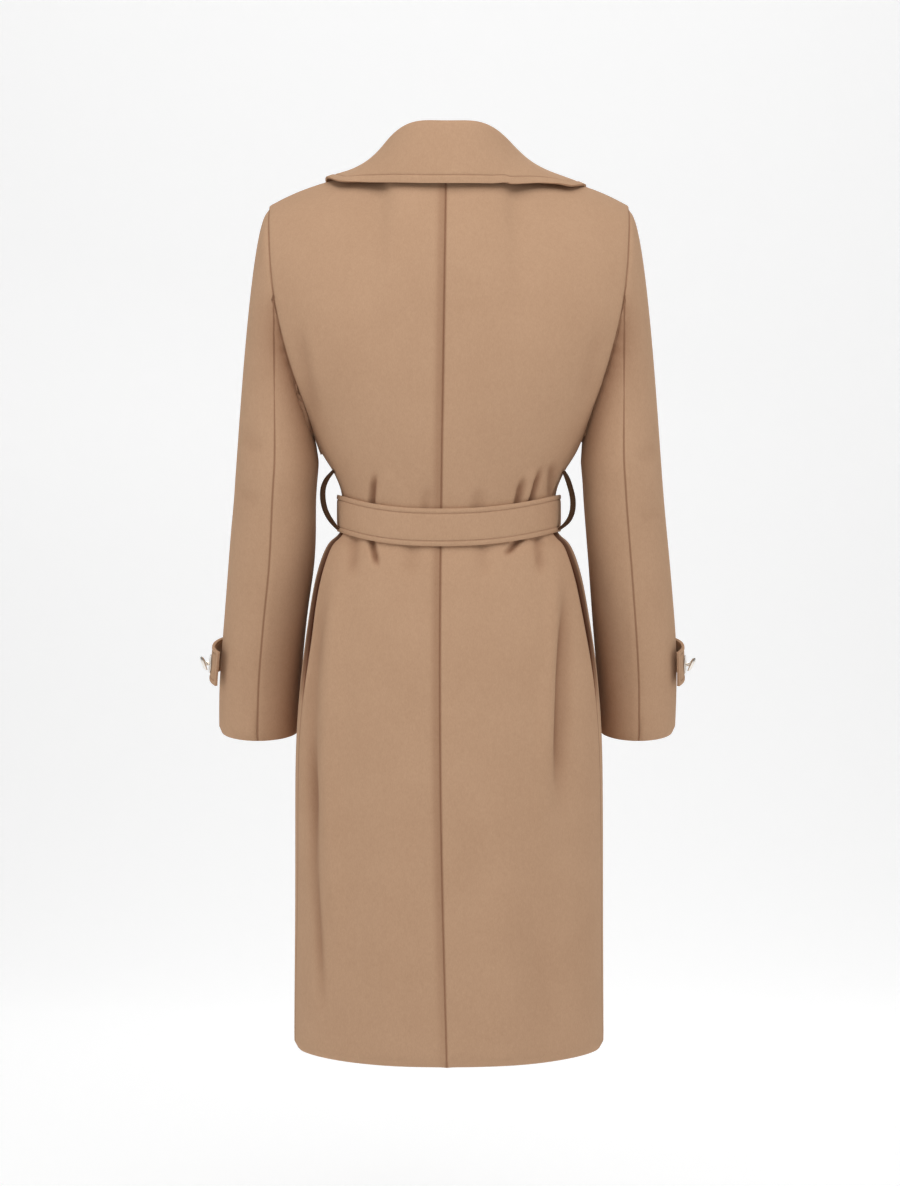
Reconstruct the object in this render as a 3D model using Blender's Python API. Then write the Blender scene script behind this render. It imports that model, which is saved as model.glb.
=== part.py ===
"""Belted wool overcoat, filled out as if worn, with nobody in it.

Metres, +Z up. The wearer faces +Y, so the back of the coat faces -Y and the wearer's right is +X.
The origin is the middle of the neck hole, level with the top of the shoulders, where the coat is carried.

Every cloth piece is a wall lofted between sections that are worked out from the short tables below. Pieces
that are sewn together share the points of their seam, and each then stands SEAM_GAP back from it.
"""

import math

import bmesh
import bpy
import numpy as np
from mathutils import Vector
from mathutils.bvhtree import BVHTree

# ---------------------------------------------------------------- driving sizes
CLOTH = 0.0025          # thickness of the coat's cloth
SEAM_GAP = 0.0002       # each piece stands this far back from a seam that it shares
FIRST_ROW_GAP = 1.6     # and a sleeve from its armhole this many times as far
LAYER_GAP = 0.0005      # clearance between two layers that lie on each other
FOLD_BACK_COSINE = 0.1  # at a seam sharper than this the cloth folds back on itself
ARM_FOLD_Z = -0.12      # below this the sleeve may fold back against the body
REST_REACH = 0.030      # a piece laid on a panel is never moved out further than this

HEM_Z = -1.000          # the hem at the sides
HEM_DROP = 0.007        # the hem hangs this much lower at the centre back
UNDERARM_Z = -0.310     # bottom of the armhole
SHOULDER_TIP = (0.2105, 0.000, -0.018)
NECK_POINT = (0.070, 0.000, 0.034)
SHOULDER_ROUND = 0.0045 # the shoulder seam rises this much over a straight line towards its tip
NAPE = (0.000, -0.078, 0.012)

BELT_WIDTH = 0.043
BELT_THICKNESS = 0.0036
BELT_SIDE_Z = -0.378    # middle of the belt at the sides
BELT_SAG = 0.019        # the belt, and the waist under it, lie this much lower at the centre back
BELT_COLUMNS = 40
BELT_SHARES = (-0.5, -0.25, 0.0, 0.25, 0.5)     # the rows of the belt and its ends, across its width
BELT_EDGE = 0.86        # the belt's edges are this share of its thickness
BELT_LEVELS = (-0.402, -0.378, -0.354)      # levels of the waist that the belt has to clear
WAIST_FADE = (-0.620, -0.430, -0.345, -0.300)   # levels between which the waist's sag comes and goes

FRONT_OVERLAP = 0.060   # each front reaches this far past the centre
BREAK_Z = -0.345        # where the lapel starts to turn back, just above the belt
WRAP_DEPTH = 0.0050     # the under front lies this much further in
WRAP_EASE = 0.078       # and it starts to move in this far from the right front's edge
WRAP_DEPTH_CHEST = 0.0150  # the same above the break, where the fronts bulge
WRAP_TOP_Z = -0.095     # above the crossing of the fronts this fades away, and is gone at this level

HALF_NECK_COLUMNS = 4   # columns of the grid along half the back neck
SHOULDER_COLUMNS = 8    # columns along a shoulder seam
ARMHOLE_ROWS = 8        # rows of a panel beside its armhole, closer together towards the shoulder
ROW_SHARES = tuple(1.0 - (1.0 - i / ARMHOLE_ROWS) ** 1.4 for i in range(ARMHOLE_ROWS + 1))
FRONT_SEAM_INDEX = 13   # the sleeve's front seam, counted round the armhole from the underarm

# One row for each level of the body: height, half width, depth of the back and of the front, how square
# the section is, and the angle of the side seam, counted from the centre back.
BODY_COLUMNS = ("z", "half_width", "back", "front", "squareness", "side_angle")
BODY = (
    (-1.000, 0.1825, 0.134, 0.132, 2.25, 78),
    (-0.860, 0.1820, 0.132, 0.128, 2.25, 77),
    (-0.720, 0.1820, 0.130, 0.124, 2.25, 76),
    (-0.640, 0.1810, 0.128, 0.121, 2.25, 75),
    (-0.580, 0.1770, 0.125, 0.118, 2.25, 74),
    (-0.520, 0.1695, 0.120, 0.113, 2.25, 72),
    (-0.487, 0.1640, 0.116, 0.110, 2.25, 71),
    (-0.460, 0.1590, 0.112, 0.107, 2.25, 70),
    (-0.438, 0.1535, 0.108, 0.104, 2.25, 69),
    (-0.419, 0.1465, 0.1035, 0.1015, 2.25, 69),
    (-0.4085, 0.1395, 0.0995, 0.0995, 2.25, 70),
    (-0.402, 0.1270, 0.0955, 0.0985, 2.25, 71),
    (-0.378, 0.1252, 0.0945, 0.0980, 2.30, 72),
    (-0.354, 0.1262, 0.0955, 0.0990, 2.30, 75),
    (-0.342, 0.1305, 0.099, 0.104, 2.30, 78),
    (-0.325, 0.1380, 0.104, 0.112, 2.30, 81),
    (-0.310, 0.1500, 0.109, 0.120, 2.30, 86),
)

# The skirt's levels, closer together where the waist bends it.
SKIRT_LEVELS = (-1.000, -0.930, -0.860, -0.790, -0.720, -0.660, -0.610, -0.565, -0.525, -0.490, -0.460,
                -0.438, -0.419, -0.4085, -0.402, -0.378, -0.354, -0.342, -0.325, -0.310)

# The centre back seam wanders a little from the middle.
SEAM_LINE = ((-1.010, -0.002), (-0.720, -0.009), (-0.380, -0.009), (-0.260, -0.007), (0.012, -0.003))

# The back in profile above the underarm, and the armhole seen from the side and from behind.
NAPE_PROFILE = ((-0.300, -0.110), (-0.230, -0.1155), (-0.150, -0.1165), (-0.080, -0.110), (-0.030, -0.096),
                (0.012, -0.078))
FRONT_PROFILE = ((-0.300, 0.1220), (-0.250, 0.1265), (-0.200, 0.1235), (-0.150, 0.1110), (-0.100, 0.0900),
                 (-0.050, 0.0640), (0.000, 0.0310), (0.034, 0.0000))
ARMHOLE_COLUMNS = ("z", "x", "back", "front")
ARMHOLE = (
    (-0.310, 0.1500, -0.0105, -0.0105),
    (-0.286, 0.1575, -0.0330, 0.0240),
    (-0.240, 0.1745, -0.0560, 0.0500),
    (-0.195, 0.1885, -0.0650, 0.0600),
    (-0.150, 0.1990, -0.0650, 0.0600),
    (-0.105, 0.2060, -0.0560, 0.0510),
    (-0.060, 0.2090, -0.0400, 0.0370),
    (-0.032, 0.2105, -0.0240, 0.0220),
    (-0.018, 0.2105, 0.0000, 0.0000),
)

# Levels of a sleeve: height, its outer and inner side on the left and right arm, the middle of its depth,
# half its depth, and how much its ring tips up towards the front.
SLEEVE_COLUMNS = ("z", "outer_left", "inner_left", "outer_right", "inner_right", "middle", "half_depth", "tip")
SLEEVE = (
    (-0.320, 0.2495, 0.1505, 0.2490, 0.1525, 0.000, 0.0665, 0.01),
    (-0.340, 0.2510, 0.1525, 0.2505, 0.1548, 0.001, 0.066, 0.02),
    (-0.365, 0.2527, 0.1545, 0.2527, 0.1560, 0.004, 0.064, 0.05),
    (-0.400, 0.2566, 0.1540, 0.2562, 0.1590, 0.008, 0.062, 0.08),
    (-0.440, 0.2600, 0.1560, 0.2606, 0.1625, 0.014, 0.060, 0.12),
    (-0.480, 0.2636, 0.1632, 0.2644, 0.1655, 0.022, 0.057, 0.15),
    (-0.527, 0.2680, 0.1690, 0.2692, 0.1695, 0.032, 0.054, 0.18),
    (-0.580, 0.2732, 0.1740, 0.2708, 0.1745, 0.044, 0.050, 0.21),
    (-0.635, 0.2738, 0.1750, 0.2692, 0.1755, 0.056, 0.047, 0.24),
)
CAP_ROWS = 6

# Soft folds of the cloth: where each lies across the body at its top and bottom, over which levels, how
# high it stands (or how deep it sinks) and how wide it is.
FOLD_COLUMNS = ("face", "x_top", "x_bottom", "z_top", "z_bottom", "height", "width")
FOLDS = (
    (-1, -0.128, -0.146, -0.425, -0.960, 0.0040, 0.014),
    (-1, -0.150, -0.166, -0.470, -0.900, -0.0060, 0.016),
    (-1, 0.127, 0.116, -0.425, -0.800, 0.0030, 0.013),
    (-1, 0.142, 0.134, -0.450, -0.820, -0.0050, 0.016),
    (-1, 0.062, 0.074, -0.800, -1.060, 0.0035, 0.022),
    (-1, -0.058, -0.070, -0.780, -1.060, 0.0030, 0.024),
    (1, 0.118, 0.132, -0.430, -1.020, 0.0040, 0.020),
    (1, 0.085, 0.095, -0.450, -0.980, -0.0040, 0.018),
    (1, -0.120, -0.134, -0.440, -1.020, 0.0040, 0.020),
    (1, -0.090, -0.100, -0.460, -0.940, -0.0035, 0.018),
)
FOLD_FADE = 0.09        # a fold grows from nothing over this length at each end

# The collar's cross-section at places round the neck, from the centre back to its front end.
# reach: place along the neck, 0 at the centre back and 1 at the front end. rise: height of the roll above
# the neck seam. radius: of the roll's inside. left, right: how far out the outer edge of the fall lies on
# each side, and edge_y, edge_z the rest of its place. hollow: how far the fall sinks in below a straight
# line. rest: how far the edge stands off the panel under it.
COLLAR_COLUMNS = ("reach", "rise", "radius", "left", "right", "edge_y", "edge_z", "hollow", "rest")
COLLAR = (
    (0.00, 0.0547, 0.0048, 0.000, 0.000, -0.0960, -0.0045, 0.0010, 0.0060),
    (0.18, 0.0505, 0.0048, 0.051, 0.053, -0.0920, -0.0045, 0.0020, 0.0055),
    (0.26, 0.0405, 0.0048, 0.076, 0.080, -0.0800, -0.0038, 0.0030, 0.0050),
    (0.34, 0.0275, 0.0048, 0.101, 0.107, -0.0600, -0.0025, 0.0035, 0.0040),
    (0.46, 0.0160, 0.0046, 0.136, 0.151, -0.0300, 0.0010, 0.0020, 0.0024),
    (0.52, 0.0150, 0.0045, 0.143, 0.160, -0.0120, 0.0075, 0.0015, 0.0030),
    (0.58, 0.0140, 0.0044, 0.145, 0.162, 0.0030, 0.0085, 0.0015, 0.0030),
    (0.72, 0.0125, 0.0042, 0.142, 0.160, 0.0300, -0.0020, 0.0020, 0.0026),
    (0.86, 0.0105, 0.0040, 0.138, 0.152, 0.0620, -0.0260, 0.0020, 0.0022),
    (1.00, 0.0090, 0.0036, 0.128, 0.135, 0.0830, -0.0520, 0.0020, 0.0022),
)
COLLAR_THICKNESS = 0.0026
COLLAR_ROLL_ANGLES = (180.0, 125.0, 70.0, 15.0)      # where the rows of the roll lie on its arc
COLLAR_FALL_STEPS = (0.22, 0.45, 0.68, 0.88, 1.0)    # where the rows of the fall lie, from roll to edge
COLLAR_END_BACK = 0.12  # the collar stops this share of a row before the lapel
COLLAR_SEAM_GAP = 0.0004    # the collar's lower edge stands this far above the neck seam
COLLAR_REST = 0.0029    # least clearance of the collar over the shoulders
COLLAR_PARTS = 4        # columns of the collar for each column of the panels at the neck
EDGE_ROUNDS = 4         # how often the collar's edge is brought to its panel
STEEP = 0.5            # where a panel is at least this steep the collar's edge moves only forward or back
HOLLOW_TURN = 0.8       # below 1 the fall's hollow lies nearer its roll than its edge
HOLLOW_SIDE = {-1: 1.0, 1: 2.4}         # each side's hollow, as a share of the table's
HOLLOW_OUT = 0.4        # how far the hollow also sinks in level, as a share

# The lapels.
LAPEL_THICKNESS = 0.0030
LAPEL_LIFT = 0.0030     # how far the middle of a lapel stands off the front
LAPEL_REST = 0.0022     # clearance of its two edges
LAPEL_WIDTH = 0.088
LAPEL_BELLY = 1.7       # above 1 the lapel's outer edge bows out on its way up
LAPEL_COLUMNS = 6
LAPEL_ROWS_PER_ROW = 3  # rows of the lapel for each row of the front
LAPEL_START = 2.0       # how far up its widening the lapel is at its lowest row, in rows
LAPEL_GORGE_ROW = 4     # the lapel's top is this many rows below the shoulder
LAPEL_BREAK_ROW = {1: 17, -1: 22}       # the row where each side's lapel starts

# The belt's knot and its two hanging ends.
KNOT_SIZE = (0.050, 0.022, 0.046)
KNOT_X = -0.010
KNOT_CUTS = 4           # how finely the knot's block is divided
KNOT_BELLY = 0.16       # its front falls back this much towards its edges
KNOT_NARROW = 0.14      # it is this much narrower at its corners
KNOT_GROOVE = 0.18      # depth of the groove across its front, as a share
KNOT_GROOVE_WIDTH = 0.35
KNOT_GROOVE_LEAN = 0.5
END_THICKNESS = 0.0034
END_ROWS = 8
END_COLUMNS = ("name", "x_top", "x_bottom", "bottom", "width")
ENDS = (
    ("belt_end_long", 0.016, 0.034, -0.700, 0.040),
    ("belt_end_short", -0.036, -0.058, -0.645, 0.040),
)
END_TOP_Z = -0.4009     # just under the belt's lower edge
END_REST = 0.0012       # clearance of the ends over the skirt

# The belt carriers: height, and how far their outside stands from the middle on each side.
CARRIER_COLUMNS = ("z", "out_left", "out_right")
CARRIER = (
    (-0.3320, 0.1385, 0.1370),
    (-0.3380, 0.1425, 0.1385),
    (-0.3480, 0.1472, 0.1415),
    (-0.3580, 0.1480, 0.1445),
    (-0.3700, 0.1466, 0.1456),
    (-0.3810, 0.1424, 0.1436),
    (-0.3900, 0.1360, 0.1385),
    (-0.3970, 0.1335, 0.1345),
)
CARRIER_WIDTH = 0.010
CARRIER_THICKNESS = 0.0020
CARRIER_Y = -0.030
CARRIER_ACROSS = (0.55, 0.83, 0.0)      # the way its width runs, along the body's side

# The cuff tabs: turns round the sleeve from the free end to the end in the front seam, and how far each
# place stands off the sleeve.
TAB_COLUMNS = ("turn", "off")
TAB = ((0.405, 0.0050), (0.44, 0.0054), (0.48, 0.0052), (0.53, 0.0042), (0.58, 0.0030), (0.64, 0.0018),
       (0.70, 0.0010), (0.76, 0.0007))
TAB_THICKNESS = 0.0032
TAB_STAND = {-1: 1.7, 1: 1.1}   # how much more than the table each side's tab rises from its sewn end
TAB_LOW_Z = -0.5745
TAB_WIDTH = 0.040
TAB_RISE = 0.010        # the sewn end lies this much higher than the free end
LOCK_TURN = 0.462       # the turn-lock's place round the sleeve
LOCK_SEAT = 0.0001      # the plate lies this much lower than the tab's round form

# The turn-lock, from the tab outwards: distance, half length and half width of each section.
PLATE_SECTIONS = ((0.0000, 0.0115, 0.0060), (0.0008, 0.0115, 0.0060), (0.0012, 0.0105, 0.0050))
TOGGLE_SECTIONS = ((0.0000, 0.0022, 0.0022), (0.0038, 0.0022, 0.0022), (0.0046, 0.0078, 0.0030),
                   (0.0060, 0.0085, 0.0036), (0.0080, 0.0075, 0.0030), (0.0090, 0.0050, 0.0018))
METAL_SIDES = 16
TOGGLE_LEAN = 0.45      # how far the toggle leans out towards its top, as a slope
LEAN_LENGTH = 0.003     # sections shorter than this, the post's, stay square to the axis
LEAN_FULL = 0.005       # and those from this length on lean in full
TOGGLE_GAP = 0.0003     # the toggle's post stands this far off the plate

# Colours and finishes: base colour, roughness, metallic.
CAMEL = ((0.48, 0.305, 0.178, 1.0), 0.92, 0.0)
CAMEL_DEEP = ((0.44, 0.275, 0.158, 1.0), 0.94, 0.0)
PALE_METAL = ((0.74, 0.70, 0.62, 1.0), 0.28, 1.0)


# ---------------------------------------------------------------- small tools
def column(table, names, name):
    """Return one named column of a table."""
    at = names.index(name)
    return np.array([row[at] for row in table], dtype=float)


def smooth(knots, values, at):
    """Read a smooth curve through a table's values."""
    knots = np.asarray(knots, dtype=float)
    values = np.asarray(values, dtype=float)
    if knots[0] > knots[-1]:
        knots = knots[::-1]
        values = values[::-1]
    at = min(max(at, knots[0]), knots[-1])
    i = min(int(np.searchsorted(knots, at, side="right")) - 1, len(knots) - 2)
    slopes = np.gradient(values, knots)
    span = knots[i + 1] - knots[i]
    t = (at - knots[i]) / span
    rise = values[i] * (2 * t**3 - 3 * t**2 + 1) + values[i + 1] * (3 * t**2 - 2 * t**3)
    lean = slopes[i] * (t**3 - 2 * t**2 + t) + slopes[i + 1] * (t**3 - t**2)
    return float(rise + lean * span)


def smoothstep(t):
    """Ease from 0 to 1."""
    t = min(max(t, 0.0), 1.0)
    return t * t * (3 - 2 * t)


def mix(a, b, t):
    """Blend two points or numbers."""
    return a * (1 - t) + b * t


def unit(v):
    """Return a vector of length 1."""
    return v / max(np.linalg.norm(v), 1e-12)


def mirrored(points, side):
    """Put points that were worked out for the +X side on the given side."""
    return points * np.array((side, 1.0, 1.0))


# ---------------------------------------------------------------- the body's form
def body_value(name, z):
    """Read one size of the body at a height."""
    return smooth(column(BODY, BODY_COLUMNS, "z"), column(BODY, BODY_COLUMNS, name), z)


def seam_x(z):
    """How far the centre back seam lies from the middle."""
    return smooth([row[0] for row in SEAM_LINE], [row[1] for row in SEAM_LINE], z)


def fold_height(x, z, face):
    """How far the folds move the cloth out at a place on the back (-1) or the front (1)."""
    total = 0.0
    for row in FOLDS:
        fold = dict(zip(FOLD_COLUMNS, row))
        if fold["face"] != face or not fold["z_bottom"] < z < fold["z_top"]:
            continue
        down = (fold["z_top"] - z) / (fold["z_top"] - fold["z_bottom"])
        centre = mix(fold["x_top"], fold["x_bottom"], down)
        fade = smoothstep((fold["z_top"] - z) / FOLD_FADE) * smoothstep((z - fold["z_bottom"]) / FOLD_FADE)
        total += fold["height"] * fade * math.exp(-(((x - centre) / fold["width"]) ** 2))
    return total


def body_point(angle, z):
    """A point of the coat's outside: angle in degrees, 0 at the centre back, 90 at +X, 180 in front."""
    turn = math.radians(angle)
    power = 2.0 / body_value("squareness", z)
    sine, cosine = math.sin(turn), math.cos(turn)
    depth = body_value("back", z) if cosine > 0 else body_value("front", z)
    x = body_value("half_width", z) * math.copysign(abs(sine) ** power, sine)
    y = -depth * math.copysign(abs(cosine) ** power, cosine)
    face = -1 if cosine > 0 else 1
    out = unit(np.array((x, y * 1.3, 0.0)))
    behind = max(cosine, 0.0) ** 2
    drop = HEM_DROP * behind * smoothstep((HEM_Z + 0.25 - z) / 0.25)
    low, rising, falling, high = WAIST_FADE
    fade = smoothstep((z - low) / (rising - low)) * smoothstep((high - z) / (high - falling))
    sag = BELT_SAG * behind * fade
    shift = seam_x(z) * behind
    return np.array((x + shift, y, z - drop - sag)) + out * fold_height(x, z, face)


def angle_at_x(x, z):
    """The angle, in front, at which the body's section reaches x."""
    share = min(abs(x) / body_value("half_width", z), 1.0)
    turn = math.degrees(math.asin(share ** (body_value("squareness", z) / 2.0)))
    return 180.0 - math.copysign(turn, x)


def front_edge_x(z):
    """Where the right front's edge lies: past the centre below the break, and on the roll line above it."""
    if z <= BREAK_Z:
        return -FRONT_OVERLAP
    return mix(-FRONT_OVERLAP, NECK_POINT[0], (z - BREAK_Z) / (NECK_POINT[2] - BREAK_Z))


def under_front_depth(x, z):
    """How much further in the left front lies where the right front covers it."""
    depth = mix(WRAP_DEPTH, WRAP_DEPTH_CHEST, smoothstep((z - BREAK_Z) / 0.05))
    depth *= smoothstep((WRAP_TOP_Z - z) / 0.07)
    return depth * smoothstep((x - front_edge_x(z) + WRAP_EASE) / (WRAP_EASE / 2))


def armhole_point(v, half):
    """A point of the armhole on the +X side, from the underarm (v = 0) to the shoulder tip (v = 1)."""
    if v == 0.0:
        return body_point(body_value("side_angle", UNDERARM_Z), UNDERARM_Z)
    z = mix(UNDERARM_Z, SHOULDER_TIP[2], v)
    levels = column(ARMHOLE, ARMHOLE_COLUMNS, "z")
    x, y = (smooth(levels, column(ARMHOLE, ARMHOLE_COLUMNS, name), z) for name in ("x", half))
    return np.array((x, y, z))


def shoulder_point(t):
    """A point of the shoulder seam, from the neck point to the tip, rounded over towards the tip."""
    point = mix(np.array(NECK_POINT), np.array(SHOULDER_TIP), t)
    point[2] += SHOULDER_ROUND * math.sin(math.pi * t * t)
    return point


def neck_point(t):
    """A point of the back neck, from the nape to the neck point."""
    turn = math.pi / 2 * t
    x = NECK_POINT[0] * math.sin(turn)
    y = NAPE[1] * math.cos(turn)
    z = mix(NAPE[2], NECK_POINT[2], smoothstep(t))
    return np.array((x + seam_x(z) * (1 - t), y, z))


def patch(bottom, top, start, end, u, v):
    """Fill the space between four edge curves. The depth closes in late, which rounds the shoulder over."""
    late = 1.0 - math.sqrt(max(1.0 - v**2.5, 0.0))
    w = np.array((v, late, v))
    across = bottom(u) * (1 - w) + top(u) * w
    first = start(v) - (bottom(0.0) * (1 - w) + top(0.0) * w)
    last = end(v) - (bottom(1.0) * (1 - w) + top(1.0) * w)
    return across + mix(first, last, u)


def back_surface(side):
    """The upper back on one side as a function of u (centre to side) and v (underarm to top)."""
    neck_share = HALF_NECK_COLUMNS / (HALF_NECK_COLUMNS + SHOULDER_COLUMNS)
    seam_angle = body_value("side_angle", UNDERARM_Z)

    def bottom(u):
        return body_point(side * seam_angle * u, UNDERARM_Z)

    def top(u):
        if u <= neck_share:
            point = neck_point(u / neck_share)
            return np.array((side * (point[0] - seam_x(NAPE[2]) * (1 - u / neck_share))
                             + seam_x(NAPE[2]) * (1 - u / neck_share), point[1], point[2]))
        return mirrored(shoulder_point((u - neck_share) / (1 - neck_share)), side)

    def centre(v):
        z = mix(UNDERARM_Z, NAPE[2], v)
        y = smooth([row[0] for row in NAPE_PROFILE], [row[1] for row in NAPE_PROFILE], z)
        return np.array((seam_x(z), y, z))

    def armhole(v):
        return mirrored(armhole_point(v, "back"), side)

    return lambda u, v: patch(bottom, top, centre, armhole, u, v)


def front_surface(side):
    """The upper front on one side as a function of u (armhole to roll line) and v (underarm to shoulder)."""
    seam_angle = body_value("side_angle", UNDERARM_Z)
    edge_angle = angle_at_x(front_edge_x(UNDERARM_Z), UNDERARM_Z)

    def bottom(u):
        point = body_point(mix(seam_angle, edge_angle, u), UNDERARM_Z)
        return mirrored(point, side)

    def top(u):
        return mirrored(shoulder_point(1.0 - u), side)

    def armhole(v):
        return mirrored(armhole_point(v, "front"), side)

    def roll(v):
        z = mix(UNDERARM_Z, NECK_POINT[2], v)
        depth = smooth([row[0] for row in FRONT_PROFILE], [row[1] for row in FRONT_PROFILE], z)
        x = front_edge_x(z)
        y = depth * (1.0 - (abs(x) / 0.16) ** 2.3) ** 0.43
        return np.array((side * x, y, z))

    return lambda u, v: patch(bottom, top, armhole, roll, u, v)


# ---------------------------------------------------------------- grids and walls
def under_front(points):
    """Move the left front's points in where the right front covers them."""
    moved = points.copy()
    for row in moved:
        side_x = row[0, 0]
        for point in row:
            from_side = smoothstep((point[0] - side_x) / 0.03)
            point[1] -= from_side * under_front_depth(point[0], point[2])
    return moved


def back_grid(side):
    """Outer points of a back panel: rows from the hem to the top, columns from the centre to the side."""
    columns = HALF_NECK_COLUMNS + SHOULDER_COLUMNS
    rows = []
    for z in SKIRT_LEVELS:
        seam_angle = body_value("side_angle", z)
        rows.append([body_point(side * seam_angle * j / columns, z) for j in range(columns + 1)])
    surface = back_surface(side)
    for i in range(1, ARMHOLE_ROWS + 1):
        rows.append([surface(j / columns, ROW_SHARES[i]) for j in range(columns + 1)])
    return np.array(rows)


def front_grid(side):
    """Outer points of a front panel: rows from hem to shoulder, columns from the side to the edge."""
    columns = SHOULDER_COLUMNS
    rows = []
    for z in SKIRT_LEVELS:
        start = body_value("side_angle", z)
        end = angle_at_x(front_edge_x(z), z)
        rows.append([body_point(side * mix(start, end, j / columns), z) for j in range(columns + 1)])
    surface = front_surface(side)
    for i in range(1, ARMHOLE_ROWS + 1):
        rows.append([surface(j / columns, ROW_SHARES[i]) for j in range(columns + 1)])
    grid = np.array(rows)
    return under_front(grid) if side < 0 else grid


def sleeve_value(name, z):
    """Read one size of the sleeves at a height."""
    return smooth(column(SLEEVE, SLEEVE_COLUMNS, "z"), column(SLEEVE, SLEEVE_COLUMNS, name), z)


def sleeve_ring(z, side, turn):
    """A point of a sleeve's ring: turn 0 is its inner side, a quarter turn its back."""
    arm = "right" if side > 0 else "left"
    outer = sleeve_value("outer_" + arm, z)
    inner = sleeve_value("inner_" + arm, z)
    half_depth = sleeve_value("half_depth", z)
    angle = 2 * math.pi * turn
    x = (outer + inner) / 2 - (outer - inner) / 2 * math.cos(angle)
    y = -half_depth * math.sin(angle)
    return np.array((side * x, sleeve_value("middle", z) + y, z + sleeve_value("tip", z) * y))


def sleeve_turn(j):
    """The turn of a sleeve's column: even round the back, and closer together under the front of the arm."""
    half = ARMHOLE_ROWS
    if j <= half:
        return 0.5 * j / half
    return 0.5 + 0.5 * ((j - half) / half) ** 1.25


def sleeve_grid(side):
    """Outer points of a whole sleeve: rows from the armhole to the cuff, columns round it."""
    around = 2 * ARMHOLE_ROWS
    shares = ROW_SHARES + ROW_SHARES[-2::-1]
    halves = ["back"] * (ARMHOLE_ROWS + 1) + ["front"] * ARMHOLE_ROWS
    loop = mirrored(np.array([armhole_point(v, half) for v, half in zip(shares, halves)]), side)
    top = SLEEVE[0][0]
    turns = [sleeve_turn(j) for j in range(around + 1)]
    ring = np.array([sleeve_ring(top, side, turn) for turn in turns])
    rows = []
    for i in range(CAP_ROWS + 1):
        q = i / CAP_ROWS
        row = mix(loop, ring, q)
        for j, v in enumerate(shares):
            row[j, 2] = mix(loop[j, 2], ring[j, 2], q ** (1.0 + v))
        rows.append(row)
    for level in SLEEVE[1:]:
        rows.append(np.array([sleeve_ring(level[0], side, turn) for turn in turns]))
    return np.array(rows)


def face_normals(grid):
    """Normals of a grid's cells, facing right of the rows' direction."""
    across = grid[:-1, 1:] - grid[:-1, :-1] + grid[1:, 1:] - grid[1:, :-1]
    along = grid[1:, :-1] - grid[:-1, :-1] + grid[1:, 1:] - grid[:-1, 1:]
    return np.cross(across, along)


def shared_normals(grids, flips, families):
    """Normals at every point of several grids, and whether each point's seam folds the cloth back.

    Grids that meet share one normal, so that their walls meet in a mitre. Where the cloth turns back on
    itself, as under the arm, each grid keeps its own normal.
    """
    own = []
    meeting = {}
    for number, (grid, flip) in enumerate(zip(grids, flips)):
        sums = np.zeros(grid.shape)
        cells = face_normals(grid) * flip
        for rows, columns in ((slice(0, -1), slice(0, -1)), (slice(1, None), slice(0, -1)),
                              (slice(0, -1), slice(1, None)), (slice(1, None), slice(1, None))):
            sums[rows, columns] += cells
        own.append(sums)
        for i in range(grid.shape[0]):
            for j in range(grid.shape[1]):
                key = tuple(np.round(grid[i, j] * 10000 + 0.137).astype(int))
                meeting.setdefault(key, []).append((number, i, j))
    folded = [np.zeros(grid.shape[:2], dtype=bool) for grid in grids]
    normals = [np.array([[unit(n) for n in row] for row in sums]) for sums in own]
    for key, places in meeting.items():
        parts = {}
        for n, i, j in places:
            parts[families[n]] = parts.get(families[n], np.zeros(3)) + own[n][i, j]
        directions = [unit(part) for part in parts.values()]
        turned = len(parts) > 1 and key[2] < ARM_FOLD_Z * 10000
        turned = turned and float(directions[0] @ directions[1]) < FOLD_BACK_COSINE
        total = sum(parts.values())
        for n, i, j in places:
            folded[n][i, j] = turned
            normals[n][i, j] = unit(parts[families[n]] if turned else total)
    return normals, folded


def stand_back(points, edges, gap=SEAM_GAP):
    """Move a grid's edges back, square to each edge, from the seams they share."""
    moved = points.copy()
    wider = {"first_row": FIRST_ROW_GAP}
    lines = {"first_row": (np.s_[0], np.s_[1]), "last_row": (np.s_[-1], np.s_[-2]),
             "first_column": (np.s_[:, 0], np.s_[:, 1]), "last_column": (np.s_[:, -1], np.s_[:, -2])}
    for edge in edges:
        line, beside = lines[edge]
        along = np.gradient(points[line], axis=0)
        for step, tangent, place in zip(points[beside] - points[line], along, moved[line]):
            tangent = unit(tangent)
            inwards = unit(step - tangent * float(step @ tangent))
            place += gap * wider.get(edge, 1.0) * inwards
    return moved


# ---------------------------------------------------------------- objects and materials
def start_scene():
    """Empty the scene and give the collection for the coat."""
    for old in list(bpy.data.objects):
        bpy.data.objects.remove(old, do_unlink=True)
    collection = bpy.data.collections.new("overcoat")
    bpy.context.scene.collection.children.link(collection)
    return collection


def finish(name, colour, roughness, metallic):
    """A material of one colour and finish."""
    material = bpy.data.materials.new(name + "_finish")
    material.use_nodes = True
    shader = material.node_tree.nodes["Principled BSDF"]
    shader.inputs["Base Color"].default_value = colour
    shader.inputs["Roughness"].default_value = roughness
    shader.inputs["Metallic"].default_value = metallic
    return material


def add_object(collection, name, mesh, look):
    """Put a finished mesh in the scene under its own name and material."""
    mesh.materials.append(finish(name, *look))
    made = bpy.data.objects.new(name, mesh)
    collection.objects.link(made)
    return made


def rim(bm, out_a, out_b, in_b, in_a):
    """Two faces across a wall's edge. Pieces that meet split theirs along the same diagonal."""
    if out_a.co.z < out_b.co.z:
        bm.faces.new((out_a, out_b, in_b))
        bm.faces.new((out_a, in_b, in_a))
    else:
        bm.faces.new((out_a, out_b, in_a))
        bm.faces.new((out_b, in_b, in_a))


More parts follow.
